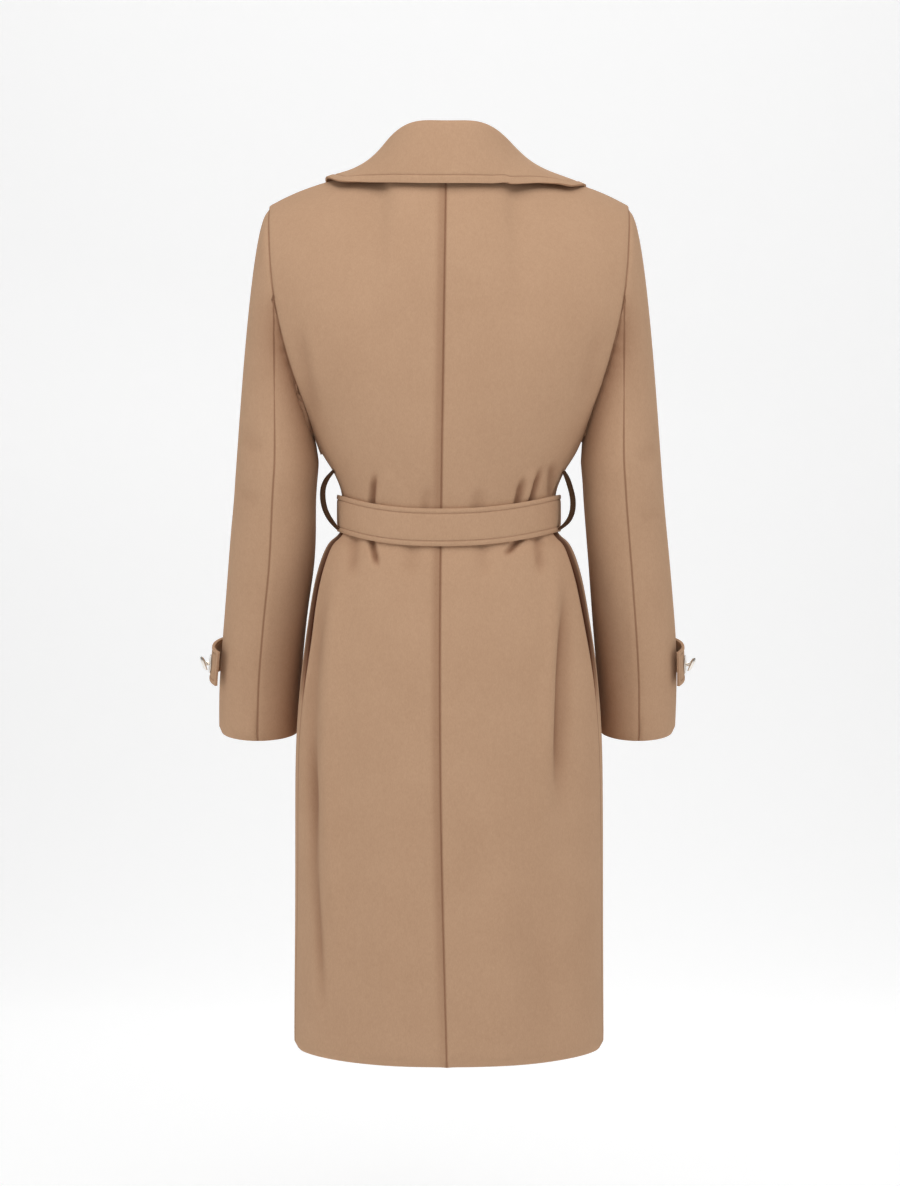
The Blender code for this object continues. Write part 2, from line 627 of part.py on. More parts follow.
def wall(collection, name, outside, inside, look, closed=False):
    """A closed wall between two grids of points; closed joins the last column to the first."""
    rows, columns = outside.shape[:2]
    bm = bmesh.new()
    outer = [[bm.verts.new(point) for point in row] for row in outside]
    inner = [[bm.verts.new(point) for point in row] for row in inside]
    spans = columns if closed else columns - 1
    for i in range(rows - 1):
        for j in range(spans):
            k = (j + 1) % columns
            bm.faces.new((outer[i][j], outer[i][k], outer[i + 1][k], outer[i + 1][j]))
            bm.faces.new((inner[i][j], inner[i + 1][j], inner[i + 1][k], inner[i][k]))
    for j in range(spans):
        k = (j + 1) % columns
        rim(bm, outer[0][k], outer[0][j], inner[0][j], inner[0][k])
        rim(bm, outer[-1][j], outer[-1][k], inner[-1][k], inner[-1][j])
    if not closed:
        for i in range(rows - 1):
            rim(bm, outer[i][0], outer[i + 1][0], inner[i + 1][0], inner[i][0])
            rim(bm, outer[i + 1][-1], outer[i][-1], inner[i][-1], inner[i + 1][-1])
    bmesh.ops.recalc_face_normals(bm, faces=bm.faces)
    mesh = bpy.data.meshes.new(name)
    bm.to_mesh(mesh)
    bm.free()
    return add_object(collection, name, mesh, look)


# ---------------------------------------------------------------- the sewn shell: body and sleeves
def sewn_shell(collection):
    """Make the panels and sleeves, whose walls share their seams."""
    grids = {}
    flips = {}
    edges = {}
    for side, word in ((-1, "left"), (1, "right")):
        grids["back_" + word] = back_grid(side)
        flips["back_" + word] = side
        edges["back_" + word] = ("first_column", "last_column", "last_row")
        grids["front_" + word] = front_grid(side)
        flips["front_" + word] = side
        edges["front_" + word] = ("first_column", "last_row")
        whole = sleeve_grid(side)
        back_seam = ARMHOLE_ROWS // 2
        last = 2 * ARMHOLE_ROWS
        grids["top_sleeve_" + word] = whole[:, back_seam:FRONT_SEAM_INDEX + 1]
        under = np.concatenate((whole[:, FRONT_SEAM_INDEX:last], whole[:, :back_seam + 1]), axis=1)
        grids["under_sleeve_" + word] = under
        for piece in ("top_sleeve_", "under_sleeve_"):
            flips[piece + word] = -side
            edges[piece + word] = ("first_row", "first_column", "last_column")
    names = list(grids)
    families = ["sleeve" if "sleeve" in name else "body" for name in names]
    grid_list = [grids[name] for name in names]
    normal_list, folded_list = shared_normals(grid_list, [flips[name] for name in names], families)
    normals = dict(zip(names, normal_list))
    for name, folded in zip(names, folded_list):
        outside = grids[name] - SEAM_GAP * normals[name] * folded[:, :, None]
        inside = outside - CLOTH * normals[name]
        wall(collection, name, stand_back(outside, edges[name]), stand_back(inside, edges[name]), CAMEL)
    return grids


def rest_on(points, grids, flips, gap, seated=False, level=False):
    """Move points out of the nearest of the given panels until each is clear of it by the gap.

    Seated points are also brought in, so that they end at the gap from the nearest panel. Level ones move
    only forward or back where the panel is steep.
    """
    moved = points.copy()
    trees = []
    for grid, flip in zip(grids, flips):
        rows, columns = grid.shape[:2]
        corners = [Vector(point) for row in grid for point in row]
        cells = []
        for i in range(rows - 1):
            for j in range(columns - 1):
                at = i * columns + j
                cell = (at, at + 1, at + columns + 1, at + columns)
                cells.append(cell if flip > 0 else cell[::-1])
        trees.append(BVHTree.FromPolygons(corners, cells))
    for place in moved.reshape(-1, 3):
        found = [tree.find_nearest(Vector(place)) for tree in trees]
        near, normal, _, distance = min(found, key=lambda hit: hit[3])
        height = (Vector(place) - near).dot(normal)
        if (height < gap or seated) and distance < REST_REACH:
            if level and abs(normal[1]) > STEEP:
                place[1] += (gap - height) / normal[1]
            else:
                place += np.array(normal) * (gap - height)
    return moved


def offset_wall(collection, name, base, flip, lift, thickness, look):
    """A wall that lies on given points: lift is its clearance at each point, thickness goes outwards."""
    normals = shared_normals([base], [flip], [name])[0][0]
    inside = base + normals * np.asarray(lift)[..., None]
    return wall(collection, name, inside + normals * thickness, inside, look)


# ---------------------------------------------------------------- collar and lapels
def neck_path(grids):
    """The neck seam from the left front's end round the back to the right front's end."""
    path = []
    for side, word in ((-1, "left"), (1, "right")):
        roll = grids["front_" + word][:, -1]
        end = mix(roll[-LAPEL_GORGE_ROW], roll[-LAPEL_GORGE_ROW + 1], COLLAR_END_BACK)
        front = [end] + [roll[-k] for k in range(LAPEL_GORGE_ROW - 1, 1, -1)]
        neck = [grids["back_" + word][-1, j] for j in range(HALF_NECK_COLUMNS, 0, -1)]
        half = front + neck
        path = half + [grids["back_left"][-1, 0]] if side < 0 else path + half[::-1]
    divided = [mix(a, b, k / COLLAR_PARTS) for a, b in zip(path, path[1:]) for k in range(COLLAR_PARTS)]
    return np.array(divided + [path[-1]])


def collar_value(name, reach):
    """Read one size of the collar at a place along the neck."""
    return smooth(column(COLLAR, COLLAR_COLUMNS, "reach"), column(COLLAR, COLLAR_COLUMNS, name), reach)


def collar_section(seam, side, reach):
    """Points across the collar at one place: up the stand, over the roll and down the fall."""
    across = side * collar_value("left" if side < 0 else "right", reach)
    edge = np.array((across, collar_value("edge_y", reach), collar_value("edge_z", reach)))
    up = np.array((0.0, 0.0, 1.0))
    out = unit((edge - seam) * np.array((1.0, 1.0, 0.0)))
    radius = collar_value("radius", reach)
    stand = collar_value("rise", reach) - radius
    middle = seam + up * stand + out * radius
    points = [seam, seam + up * stand * 0.5]
    for angle in COLLAR_ROLL_ANGLES:
        turn = math.radians(angle)
        points.append(middle + out * radius * math.cos(turn) + up * radius * math.sin(turn))
    start = points[-1]
    hollow = collar_value("hollow", reach) * HOLLOW_SIDE[side]
    for t in COLLAR_FALL_STEPS:
        sink = hollow * math.sin(math.pi * t**HOLLOW_TURN)
        points.append(mix(start, edge, t) - up * sink - out * sink * HOLLOW_OUT)
    return np.array(points)


def collar(collection, grids):
    """The collar: stand and fall in one turned-over wall, its thickness on the side that is seen."""
    path = neck_path(grids)
    steps = np.linalg.norm(np.diff(path, axis=0), axis=1)
    travelled = np.concatenate(([0.0], np.cumsum(steps)))
    middle = len(path) // 2
    sections = []
    rests = []
    for k, seam in enumerate(path):
        half = travelled[middle] if k <= middle else travelled[-1] - travelled[middle]
        reach = abs(travelled[k] - travelled[middle]) / half
        sections.append(collar_section(seam, -1 if k < middle else 1, reach))
        rests.append(collar_value("rest", reach))
    base = np.array(sections).transpose(1, 0, 2)
    names = [word + side for word in ("back_", "front_") for side in ("left", "right")]
    panels = [grids[name] for name in names]
    flips = [-1 if "left" in name else 1 for name in names]
    edge = base[-1]
    seated = edge.copy()
    for _ in range(EDGE_ROUNDS):
        for k, rest in enumerate(rests):
            seated[k] = rest_on(seated[k], panels, flips, rest, seated=True, level=True)
    moves = seated - edge
    fall = len(base) - len(COLLAR_FALL_STEPS)
    for row, t in zip(base[fall:], COLLAR_FALL_STEPS):
        row += moves * t * t
    base[fall:] = rest_on(base[fall:], panels, flips, COLLAR_REST)
    base = stand_back(base, ("first_row",), COLLAR_SEAM_GAP)
    normals = shared_normals([base], [1], ["collar"])[0][0]
    wall(collection, "collar", base - normals * COLLAR_THICKNESS, base, CAMEL)


def along_row(row, distances):
    """Points on a row of a panel, at distances measured from its last point."""
    back = row[::-1]
    lengths = np.concatenate(([0.0], np.cumsum(np.linalg.norm(np.diff(back, axis=0), axis=1))))
    return np.array([[np.interp(d, lengths, back[:, axis]) for axis in range(3)] for d in distances])


def lapel(collection, grids, side, word):
    """A lapel: the front's edge turned back, lying on the front from the break up to the collar."""
    grid = grids["front_" + word]
    last = grid.shape[0] - LAPEL_GORGE_ROW
    first = LAPEL_BREAK_ROW[side]
    rows = []
    steps = (last - first) * LAPEL_ROWS_PER_ROW
    for step in range(steps + 1):
        i, part = divmod(step, LAPEL_ROWS_PER_ROW)
        row = mix(grid[first + i], grid[min(first + i + 1, last)], part / LAPEL_ROWS_PER_ROW)
        up = (step + LAPEL_START) / (steps + LAPEL_START)
        width = LAPEL_WIDTH * (1.0 - (1.0 - up) ** LAPEL_BELLY)
        rows.append(along_row(row, [width * k / LAPEL_COLUMNS for k in range(LAPEL_COLUMNS + 1)]))
    base = np.array(rows)
    lifts = np.sin(np.linspace(0.0, math.pi, LAPEL_COLUMNS + 1))
    lift = list(LAPEL_REST + LAPEL_LIFT * lifts)
    lift[0] = LAYER_GAP
    offset_wall(collection, "lapel_" + word, base, -side, [lift] * len(rows), LAPEL_THICKNESS, CAMEL)


# ---------------------------------------------------------------- belt, knot, ends and carriers
def belt(collection):
    """The belt: a closed band round the waist. Its outside is given back, for what rests on it."""
    rows = []
    for share in BELT_SHARES:
        row = []
        for j in range(BELT_COLUMNS):
            angle = 360.0 * j / BELT_COLUMNS
            point = body_point(angle, BELT_SIDE_Z)
            across = [body_point(angle, level)[:2] for level in BELT_LEVELS]
            out = unit(point * np.array((1.0, 1.0, 0.0)))
            place = out * (max(np.linalg.norm(at) for at in across) + 2 * LAYER_GAP)
            row.append(np.array((place[0], place[1], point[2] + BELT_WIDTH * share)))
        rows.append(row)
    inside = np.array(rows)
    level = inside * np.array((1.0, 1.0, 0.0))
    out = level / np.linalg.norm(level, axis=2, keepdims=True)
    bulge = BELT_THICKNESS * np.array((BELT_EDGE, 1.0, 1.0, 1.0, BELT_EDGE))[:, None, None]
    outside = inside + out * bulge
    wall(collection, "belt", outside, inside, CAMEL, closed=True)
    return np.concatenate((outside, outside[:, :1]), axis=1)


def belt_front_depth():
    """How far forward the belt's face stands at the middle of the front."""
    waist = max(body_point(180.0, level)[1] for level in BELT_LEVELS)
    return waist + 2 * LAYER_GAP + BELT_THICKNESS


def knot(collection):
    """The belt's knot: a soft block of wound cloth in front of the belt."""
    bm = bmesh.new()
    bmesh.ops.create_cube(bm, size=1.0)
    bmesh.ops.subdivide_edges(bm, edges=bm.edges, cuts=KNOT_CUTS, use_grid_fill=True)
    place = np.array((KNOT_X, belt_front_depth() + KNOT_SIZE[1] / 2 + LAYER_GAP, BELT_SIDE_Z))
    for vertex in bm.verts:
        at = np.array(vertex.co) * 2.0
        round_share = 1.0 - KNOT_BELLY * (at[0] ** 2 + at[2] ** 2)
        across = (at[0] - KNOT_GROOVE_LEAN * at[2]) / KNOT_GROOVE_WIDTH
        groove = 1.0 - KNOT_GROOVE * math.exp(-across * across) * max(at[1], 0.0)
        narrow = 1.0 - KNOT_NARROW * at**2
        at = at * np.array((narrow[2], round_share * groove, narrow[0]))
        vertex.co = place + at * np.array(KNOT_SIZE) / 2
    mesh = bpy.data.meshes.new("belt_knot")
    bm.to_mesh(mesh)
    bm.free()
    add_object(collection, "belt_knot", mesh, CAMEL)


def belt_end(collection, name, x_top, x_bottom, bottom, width):
    """A hanging end of the belt, lying on the skirt in front."""
    rows = []
    for i in range(END_ROWS + 1):
        t = i / END_ROWS
        z = mix(END_TOP_Z, bottom, t)
        middle = mix(x_top, x_bottom, t)
        row = []
        for share in BELT_SHARES:
            x = middle + width * share
            row.append(body_point(angle_at_x(x, z), z))
        rows.append(row)
    base = np.array(rows)
    lift = np.full(base.shape[:2], END_REST)
    offset_wall(collection, name, base, 1, lift, END_THICKNESS, CAMEL)


def carrier(collection, grids, belt_outside, side, word):
    """A belt carrier: a narrow strap from the side seam above the belt, over it, to its lower edge."""
    levels = column(CARRIER, CARRIER_COLUMNS, "z")
    outs = column(CARRIER, CARRIER_COLUMNS, "out_" + word)
    rows = []
    for z, out in zip(levels, outs):
        middle = np.array((out - CARRIER_THICKNESS, CARRIER_Y, z))
        width = np.array(CARRIER_ACROSS) * CARRIER_WIDTH
        rows.append([mirrored(middle + width * share, side) for share in (-0.5, 0.0, 0.5)])
    base = np.array(rows)
    panels = [grids["back_" + word], grids["front_" + word]]
    base[0] = rest_on(base[0], panels, [side, side], 2 * SEAM_GAP, seated=True)
    base[-1] = rest_on(base[-1], [belt_outside], [1], 2 * SEAM_GAP, seated=True)
    lift = np.zeros(base.shape[:2])
    offset_wall(collection, "carrier_" + word, base, -side, lift, CARRIER_THICKNESS, CAMEL_DEEP)


# ---------------------------------------------------------------- cuff tabs and turn-locks
def tab_place(side, turn, share):
    """A point of the sleeve under the tab: share runs from 0 at its lower edge to 1 at its upper edge."""
    first, last = TAB[0][0], TAB[-1][0]
    z = TAB_LOW_Z + TAB_WIDTH * share + TAB_RISE * (turn - first) / (last - first)
    return sleeve_ring(z, side, turn)


def tab_off(side, off):
    """How far the tab stands off the sleeve: the sewn end lies the same on both sides."""
    sewn = TAB[-1][1]
    return sewn + (off - sewn) * TAB_STAND[side]


def cuff_tab(collection, side, word):
    """A cuff tab: a strap round the outside of the sleeve, free at its end behind."""
    rows = []
    lift = []
    for turn, off in TAB:
        rows.append([tab_place(side, turn, share) for share in (0.0, 0.25, 0.5, 0.75, 1.0)])
        lift.append([tab_off(side, off)] * 5)
    offset_wall(collection, "cuff_tab_" + word, np.array(rows), -side, lift, TAB_THICKNESS, CAMEL)


def lofted_sections(bm, sections, place, axis, long_way, lean=0.0):
    """Rings of ovals along an axis, joined and closed at both ends."""
    cross = unit(np.cross(axis, long_way))
    rings = []
    for distance, half_length, half_width in sections:
        ring = []
        for k in range(METAL_SIDES):
            turn = 2 * math.pi * k / METAL_SIDES
            along = half_length * math.cos(turn)
            leaning = lean * along * min(half_length / LEAN_FULL, 1.0) if half_length > LEAN_LENGTH else 0.0
            point = place + axis * (distance + leaning) + long_way * along
            ring.append(bm.verts.new(point + cross * half_width * math.sin(turn)))
        rings.append(ring)
    for lower, upper in zip(rings, rings[1:]):
        for k in range(METAL_SIDES):
            n = (k + 1) % METAL_SIDES
            bm.faces.new((lower[k], lower[n], upper[n], upper[k]))
    bm.faces.new(rings[0][::-1])
    bm.faces.new(rings[-1])
    bmesh.ops.recalc_face_normals(bm, faces=bm.faces)


def turnlock(collection, side, word):
    """A turn-lock: an oval plate on the tab, and a toggle on a short post that keeps it shut."""
    off = tab_off(side, smooth([row[0] for row in TAB], [row[1] for row in TAB], LOCK_TURN))
    here = tab_place(side, LOCK_TURN, 0.5)
    round_way = unit(tab_place(side, LOCK_TURN + 0.01, 0.5) - tab_place(side, LOCK_TURN - 0.01, 0.5))
    up_way = unit(tab_place(side, LOCK_TURN, 0.6) - tab_place(side, LOCK_TURN, 0.4))
    axis = unit(np.cross(round_way, up_way)) * side
    face = here + axis * (off + TAB_THICKNESS - LOCK_SEAT)
    plate_height = PLATE_SECTIONS[-1][0]
    pieces = (("plate", PLATE_SECTIONS, face, 0.0),
              ("toggle", TOGGLE_SECTIONS, face + axis * (plate_height + TOGGLE_GAP), TOGGLE_LEAN))
    for kind, sections, place, lean in pieces:
        bm = bmesh.new()
        lofted_sections(bm, sections, place, axis, up_way, lean)
        name = "turnlock_" + kind + "_" + word
        mesh = bpy.data.meshes.new(name)
        bm.to_mesh(mesh)
        bm.free()
        add_object(collection, name, mesh, PALE_METAL)


def main():
    """Build the coat."""
    collection = start_scene()
    grids = sewn_shell(collection)
    collar(collection, grids)
    belt_outside = belt(collection)
    knot(collection)
    for row in ENDS:
        belt_end(collection, *row)
    for side, word in ((-1, "left"), (1, "right")):
        lapel(collection, grids, side, word)
        carrier(collection, grids, belt_outside, side, word)
        cuff_tab(collection, side, word)
        turnlock(collection, side, word)


main()
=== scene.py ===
# %% [markdown]
# # A belted wool overcoat, filled out and hollow
# The coat keeps its full form in the air, open at the neck, the cuffs and the hem. Its solid parts come from
# the frame. This lesson gives each of them the look of brushed camel wool: soft thick edges, seams,
# topstitching, folds and a fine nap. The coat's front faces +Y, so the camera, which stands at -Y, sees its
# back.

import math

import bmesh
import bpy
import numpy as np
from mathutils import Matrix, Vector, kdtree


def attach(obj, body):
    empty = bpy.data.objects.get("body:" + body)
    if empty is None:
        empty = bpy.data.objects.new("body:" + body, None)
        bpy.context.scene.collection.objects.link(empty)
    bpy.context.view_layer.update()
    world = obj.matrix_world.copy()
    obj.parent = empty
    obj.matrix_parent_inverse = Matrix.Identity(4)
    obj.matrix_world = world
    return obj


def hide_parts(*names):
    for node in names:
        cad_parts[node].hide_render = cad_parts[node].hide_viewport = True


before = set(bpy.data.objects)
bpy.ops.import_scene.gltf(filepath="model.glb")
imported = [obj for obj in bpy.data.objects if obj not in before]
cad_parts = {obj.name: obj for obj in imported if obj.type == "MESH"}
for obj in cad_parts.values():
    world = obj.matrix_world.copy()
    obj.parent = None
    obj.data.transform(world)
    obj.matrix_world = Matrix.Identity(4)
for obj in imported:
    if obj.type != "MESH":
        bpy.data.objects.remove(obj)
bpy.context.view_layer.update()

# %% [markdown]
# ## The stage
# The photo has a pale, even ground and light from all round, a little stronger from above and from the
# camera's side. A floor that curves up into a wall gives the ground without a line where they meet. It lies
# half a metre below the hem, because the coat is held up at its shoulders. The paper glows a little, as thin
# paper does that is lit from behind, which keeps the ground even.

# %% Make the floor that curves up into a wall
FLOOR_Z = -1.48
FLOOR_LENGTH = 15.0          # from the curve's start to the end that lies behind the camera
COVE_START = 3.8             # the floor is flat up to here
COVE_RADIUS = 1.5
COVE_STEPS = 16
WALL_RISE = 5.0              # how far the wall goes up above the curve
PAPER_HALF_WIDTH = 14.0
PAPER_COLOUR = (0.81, 0.81, 0.81)
PAPER_GLOW = 0.33            # the paper is lit from behind as well
SAME_LEVEL = 1e-5            # heights that differ by less than this are one height


def plain_surface(name, colour, roughness):
    """A material of one colour, for the stage."""
    material = bpy.data.materials.new(name)
    material.use_nodes = True
    shader = material.node_tree.nodes["Principled BSDF"]
    shader.inputs["Base Color"].default_value = (*colour, 1.0)
    shader.inputs["Roughness"].default_value = roughness
    shader.inputs["Specular IOR Level"].default_value = 0.1
    shader.inputs["Emission Color"].default_value = (1.0, 1.0, 1.0, 1.0)
    shader.inputs["Emission Strength"].default_value = PAPER_GLOW
    return material


def extended(bm, level, way):
    """Pull the paper's open edge at one level out into a flat stretch."""
    edges = [edge for edge in bm.edges
             if edge.is_boundary and all(abs(vert.co.z - level) < SAME_LEVEL for vert in edge.verts)]
    made = bmesh.ops.extrude_edge_only(bm, edges=edges)["geom"]
    bmesh.ops.translate(bm, vec=way, verts=[part for part in made if isinstance(part, bmesh.types.BMVert)])


def backdrop():
    """Spin a short edge into the curve, and extend its two ends into floor and wall."""
    bm = bmesh.new()
    ends = [bm.verts.new((x, COVE_START, FLOOR_Z)) for x in (-PAPER_HALF_WIDTH, PAPER_HALF_WIDTH)]
    edge = bm.edges.new(ends)
    bmesh.ops.spin(bm, geom=[*ends, edge], cent=(0.0, COVE_START, FLOOR_Z + COVE_RADIUS),
                   axis=(1.0, 0.0, 0.0), angle=math.pi / 2, steps=COVE_STEPS, use_duplicate=False)
    extended(bm, FLOOR_Z, (0.0, -FLOOR_LENGTH, 0.0))
    extended(bm, max(vert.co.z for vert in bm.verts), (0.0, 0.0, WALL_RISE))
    for face in bm.faces:
        face.smooth = True
    mesh = bpy.data.meshes.new("backdrop")
    bm.to_mesh(mesh)
    bm.free()
    mesh.materials.append(plain_surface("pale_paper", PAPER_COLOUR, 0.9))
    made = bpy.data.objects.new("backdrop", mesh)
    bpy.context.scene.collection.objects.link(made)


backdrop()
print("floor at", FLOOR_Z)

# %% [markdown]
# The camera stands level with the hips, 3.6 m behind the coat, and looks straight at it.

# %% Set the camera
CAMERA_PLACE = (0.0012, -3.6, -0.4715)
PICTURE_HEIGHT = 1.3876      # metres that the picture spans from top to bottom at the coat
SENSOR = 36.0

camera = bpy.data.cameras.new("camera")
camera.sensor_width = SENSOR
camera.lens = SENSOR / 2 / (PICTURE_HEIGHT / 2 / -CAMERA_PLACE[1])
camera_object = bpy.data.objects.new("camera", camera)
camera_object.location = CAMERA_PLACE
camera_object.rotation_euler = (math.pi / 2, 0.0, 0.0)
bpy.context.scene.collection.objects.link(camera_object)
bpy.context.scene.camera = camera_object
print("lens", round(camera.lens, 1), "mm")

# %% [markdown]
# A wide lamp above the camera and one over the coat give the main light, two weaker ones stand at the sides,
# one lights the far side of the coat, which other views look at, and one washes the wall. The world adds an
# even white.

# %% Set the lamps
LAMPS = (
    # name, place, the point it looks at, width and height, all in metres, and power in watts
    ("key", (0.2, -3.0, 2.0), (0.0, 0.0, -0.38), (1.4, 1.2), 41.0),
    ("overhead", (0.0, -1.0, 1.7), (0.0, -0.1, -0.30), (2.4, 1.4), 24.0),
    ("left_fill", (-2.8, -1.3, 0.3), (0.0, 0.0, -0.5), (1.6, 2.2), 21.0),
    ("right_fill", (2.8, -1.3, 0.3), (0.0, 0.0, -0.5), (1.6, 2.2), 17.0),
    ("far_side", (0.6, 3.9, 2.2), (0.0, 0.0, -0.45), (2.0, 1.6), 46.0),
    ("wall_wash", (0.0, 3.2, 2.8), (0.0, 5.3, -0.3), (4.5, 0.6), 26.0),
)
WORLD_LIGHT = 0.21


def lamp(name, place, target, size, power):
    """A white area lamp that looks at a point."""
    light = bpy.data.lights.new(name, "AREA")
    light.shape = "RECTANGLE"
    light.size, light.size_y = size
    light.energy = power
    made = bpy.data.objects.new(name, light)
    made.location = place
    made.rotation_euler = (Vector(target) - Vector(place)).to_track_quat("-Z", "Y").to_euler()
    bpy.context.scene.collection.objects.link(made)


for row in LAMPS:
    lamp(*row)

world = bpy.data.worlds.new("studio")
bpy.context.scene.world = world
world.use_nodes = True
world.node_tree.nodes["Background"].inputs["Color"].default_value = (1.0, 1.0, 1.0, 1.0)
world.node_tree.nodes["Background"].inputs["Strength"].default_value = WORLD_LIGHT
bpy.context.scene.view_settings.view_transform = "Standard"

# %% [markdown]
# ## From solid wall to soft cloth
# Each cloth part of the frame is a closed wall of loose triangles. The way from there to cloth: merge the
# corners, join the triangles to squares, and keep only the sheet that faces outwards. The sheet is smoothed,
# its folds are pressed in, and it gets its thickness back with rounded edges.
# The thin edges that tie the two sheets are found by their length, which is the cloth's thickness, and by
# their direction, square to the cloth. Of the two sheets the outer one is the larger.

# %% Find a wall's outer sheet
# Limits for a thin edge, strict ones first: its length in metres, least and most, and its lean, the least at
# each end and for both ends together.
LIMITS = ((0.0012, 0.0060, 0.3, 0.85), (0.0012, 0.0060, 0.2, 0.7), (0.0010, 0.0090, 0.1, 0.5))
TWO_SHEETS = 0.7             # two sheets are found when the smaller has more than this share of the larger
SAME_POINT = 2e-5            # corners closer together than this are one


def merged(node):
    """A bmesh of a frame node with its corners merged."""
    bm = bmesh.new()
    bm.from_mesh(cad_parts[node].data)
    bmesh.ops.remove_doubles(bm, verts=bm.verts, dist=SAME_POINT)
    bm.normal_update()
    return bm


def to_squares(bm):
    """Join the triangles of a bmesh to squares."""
    bmesh.ops.join_triangles(bm, faces=bm.faces, angle_face_threshold=math.pi, angle_shape_threshold=math.pi,
                             cmp_seam=False, cmp_sharp=False, cmp_uvs=False, cmp_vcols=False,
                             cmp_materials=False, topology_influence=2.0)
    return bm


def cut_rim(bm, least, most, each, both):
    """Take away the faces at a wall's rim."""
    thin = []
    for edge in bm.edges:
        length = edge.calc_length()
        if least < length < most:
            along = (edge.verts[0].co - edge.verts[1].co) / length
            lean = [abs(along.dot(vert.normal)) for vert in edge.verts]
            if min(lean) > each and sum(lean) > both:
                thin.append(edge)
    rim = list({face for edge in thin for face in edge.link_faces})
    bmesh.ops.delete(bm, geom=rim, context="FACES")


def islands(bm):
    """The connected parts of a bmesh, as (area, number, faces), largest first."""
    parts = []
    left = set(bm.faces)
    while left:
        reached = {left.pop()}
        todo = list(reached)
        while todo:
            for edge in todo.pop().edges:
                for face in edge.link_faces:
                    if face in left:
                        left.discard(face)
                        reached.add(face)
                        todo.append(face)
        parts.append((sum(face.calc_area() for face in reached), len(parts), reached))
    return sorted(parts, reverse=True)


def outer_sheet(node):
    """A bmesh of the outward sheet of a frame node's wall, in squares."""
    for limits in LIMITS:
        bm = merged(node)
        cut_rim(bm, *limits)
        parts = islands(bm)
        if len(parts) > 1 and parts[1][0] > TWO_SHEETS * parts[0][0]:
            break
        bm.free()
    inner = [face for part in parts[1:] for face in part[2]]
    bmesh.ops.delete(bm, geom=inner, context="FACES")
    return to_squares(bm)


CLOTH_NODES = [name for name in sorted(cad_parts) if not name.startswith(("turnlock", "belt_knot"))]
print("cloth:", CLOTH_NODES)

# %% [markdown]
# A Subdivision Surface rounds the sheet. Its result is made a plain mesh, because the folds need its points.
# The collar hangs over the ends of the shoulder seams without a dent, so it is evened out first.

# %% Round a sheet


def as_object(name, bm):
    """Put a bmesh in the scene as an object, with smooth faces."""
    mesh = bpy.data.meshes.new(name)
    for face in bm.faces:
        face.smooth = True
    bm.to_mesh(mesh)
    bm.free()
    made = bpy.data.objects.new(name, mesh)
    bpy.context.scene.collection.objects.link(made)
    return made


def settle(made):
    """Make the result of an object's modifiers its own mesh."""
    graph = bpy.context.evaluated_depsgraph_get()
    mesh = bpy.data.meshes.new_from_object(made.evaluated_get(graph), depsgraph=graph)
    made.modifiers.clear()
    made.data = mesh
    return made


def rounded(name, bm, levels):
    """A bmesh as a rounded object. Its outline keeps its corners, so that neighbours still meet."""
    made = as_object(name, bm)
    round_it = made.modifiers.new("round", "SUBSURF")
    round_it.levels = round_it.render_levels = levels
    round_it.boundary_smooth = "PRESERVE_CORNERS"
    return settle(made)


ROUNDINGS = 3
EVEN_ROUNDS = 7
EVEN_STEP = 0.5              # how far each round takes a point towards the middle of its two neighbours
ROUND_THE_NECK = 0.8         # an edge that agrees this well with that direction runs round the neck


def evened(bm):
    """Even the collar out along its length, round the neck.

    Its front ends and its profile keep their places.
    """
    beside = []
    for vert in bm.verts:
        way = Vector((-vert.co.y, vert.co.x, 0.0)).normalized()
        found = [edge.other_vert(vert) for edge in vert.link_edges
                 if abs((edge.other_vert(vert).co - vert.co).normalized().dot(way)) > ROUND_THE_NECK]
        beside.append((vert, found))
    for _ in range(EVEN_ROUNDS):
        places = [(vert, (found[0].co + found[1].co) / 2) for vert, found in beside if len(found) == 2]
        for vert, place in places:
            vert.co = vert.co.lerp(place, EVEN_STEP)
    return bm


sheets = {}
for node in CLOTH_NODES:
    sheet = outer_sheet(node)
    sheets[node] = rounded("cloth_" + node, evened(sheet) if node == "collar" else sheet, ROUNDINGS)
print("points:", {node: len(made.data.vertices) for node, made in sheets.items()})

# %% [markdown]
# ## Seams, edges and folds
# Everything that is pressed into the cloth is a short shift of its points along their normals. These helpers
# read a sheet's points and its outline, and give each point its distance to a part of the outline.

# %% Read a sheet's points and its outline


def points_of(mesh):
    """All points and normals of a mesh."""
    places = np.empty(len(mesh.vertices) * 3)
    normals = np.empty(len(mesh.vertices) * 3)
    mesh.vertices.foreach_get("co", places)
    mesh.vertices.foreach_get("normal", normals)
    return places.reshape(-1, 3), normals.reshape(-1, 3)


def outline_of(mesh):
    """The numbers of the points on a sheet's open edges."""
    bm = bmesh.new()
    bm.from_mesh(mesh)
    found = sorted({vert.index for edge in bm.edges if edge.is_boundary for vert in edge.verts})
    bm.free()
    return np.array(found, dtype=int)


def distances(places, targets, reach):
    """How far each place lies from the nearest of the targets, read up to a reach."""
    tree = kdtree.KDTree(len(targets))
    for number, target in enumerate(targets):
        tree.insert(target, number)
    tree.balance()
    low, high = targets.min(axis=0) - reach, targets.max(axis=0) + reach
    found = np.full(len(places), reach)
    for number in np.flatnonzero(((places > low) & (places < high)).all(axis=1)):
        found[number] = min(tree.find(places[number])[2], reach)
    return found


def shift(mesh, amount):
    """Move every point along its normal."""
    places, normals = points_of(mesh)
    moved = places + normals * amount[:, None]
    mesh.vertices.foreach_set("co", moved.ravel())
    mesh.update()


outlines = {node: outline_of(made.data) for node, made in sheets.items()}
print("outline points:", {node: len(found) for node, found in outlines.items()})

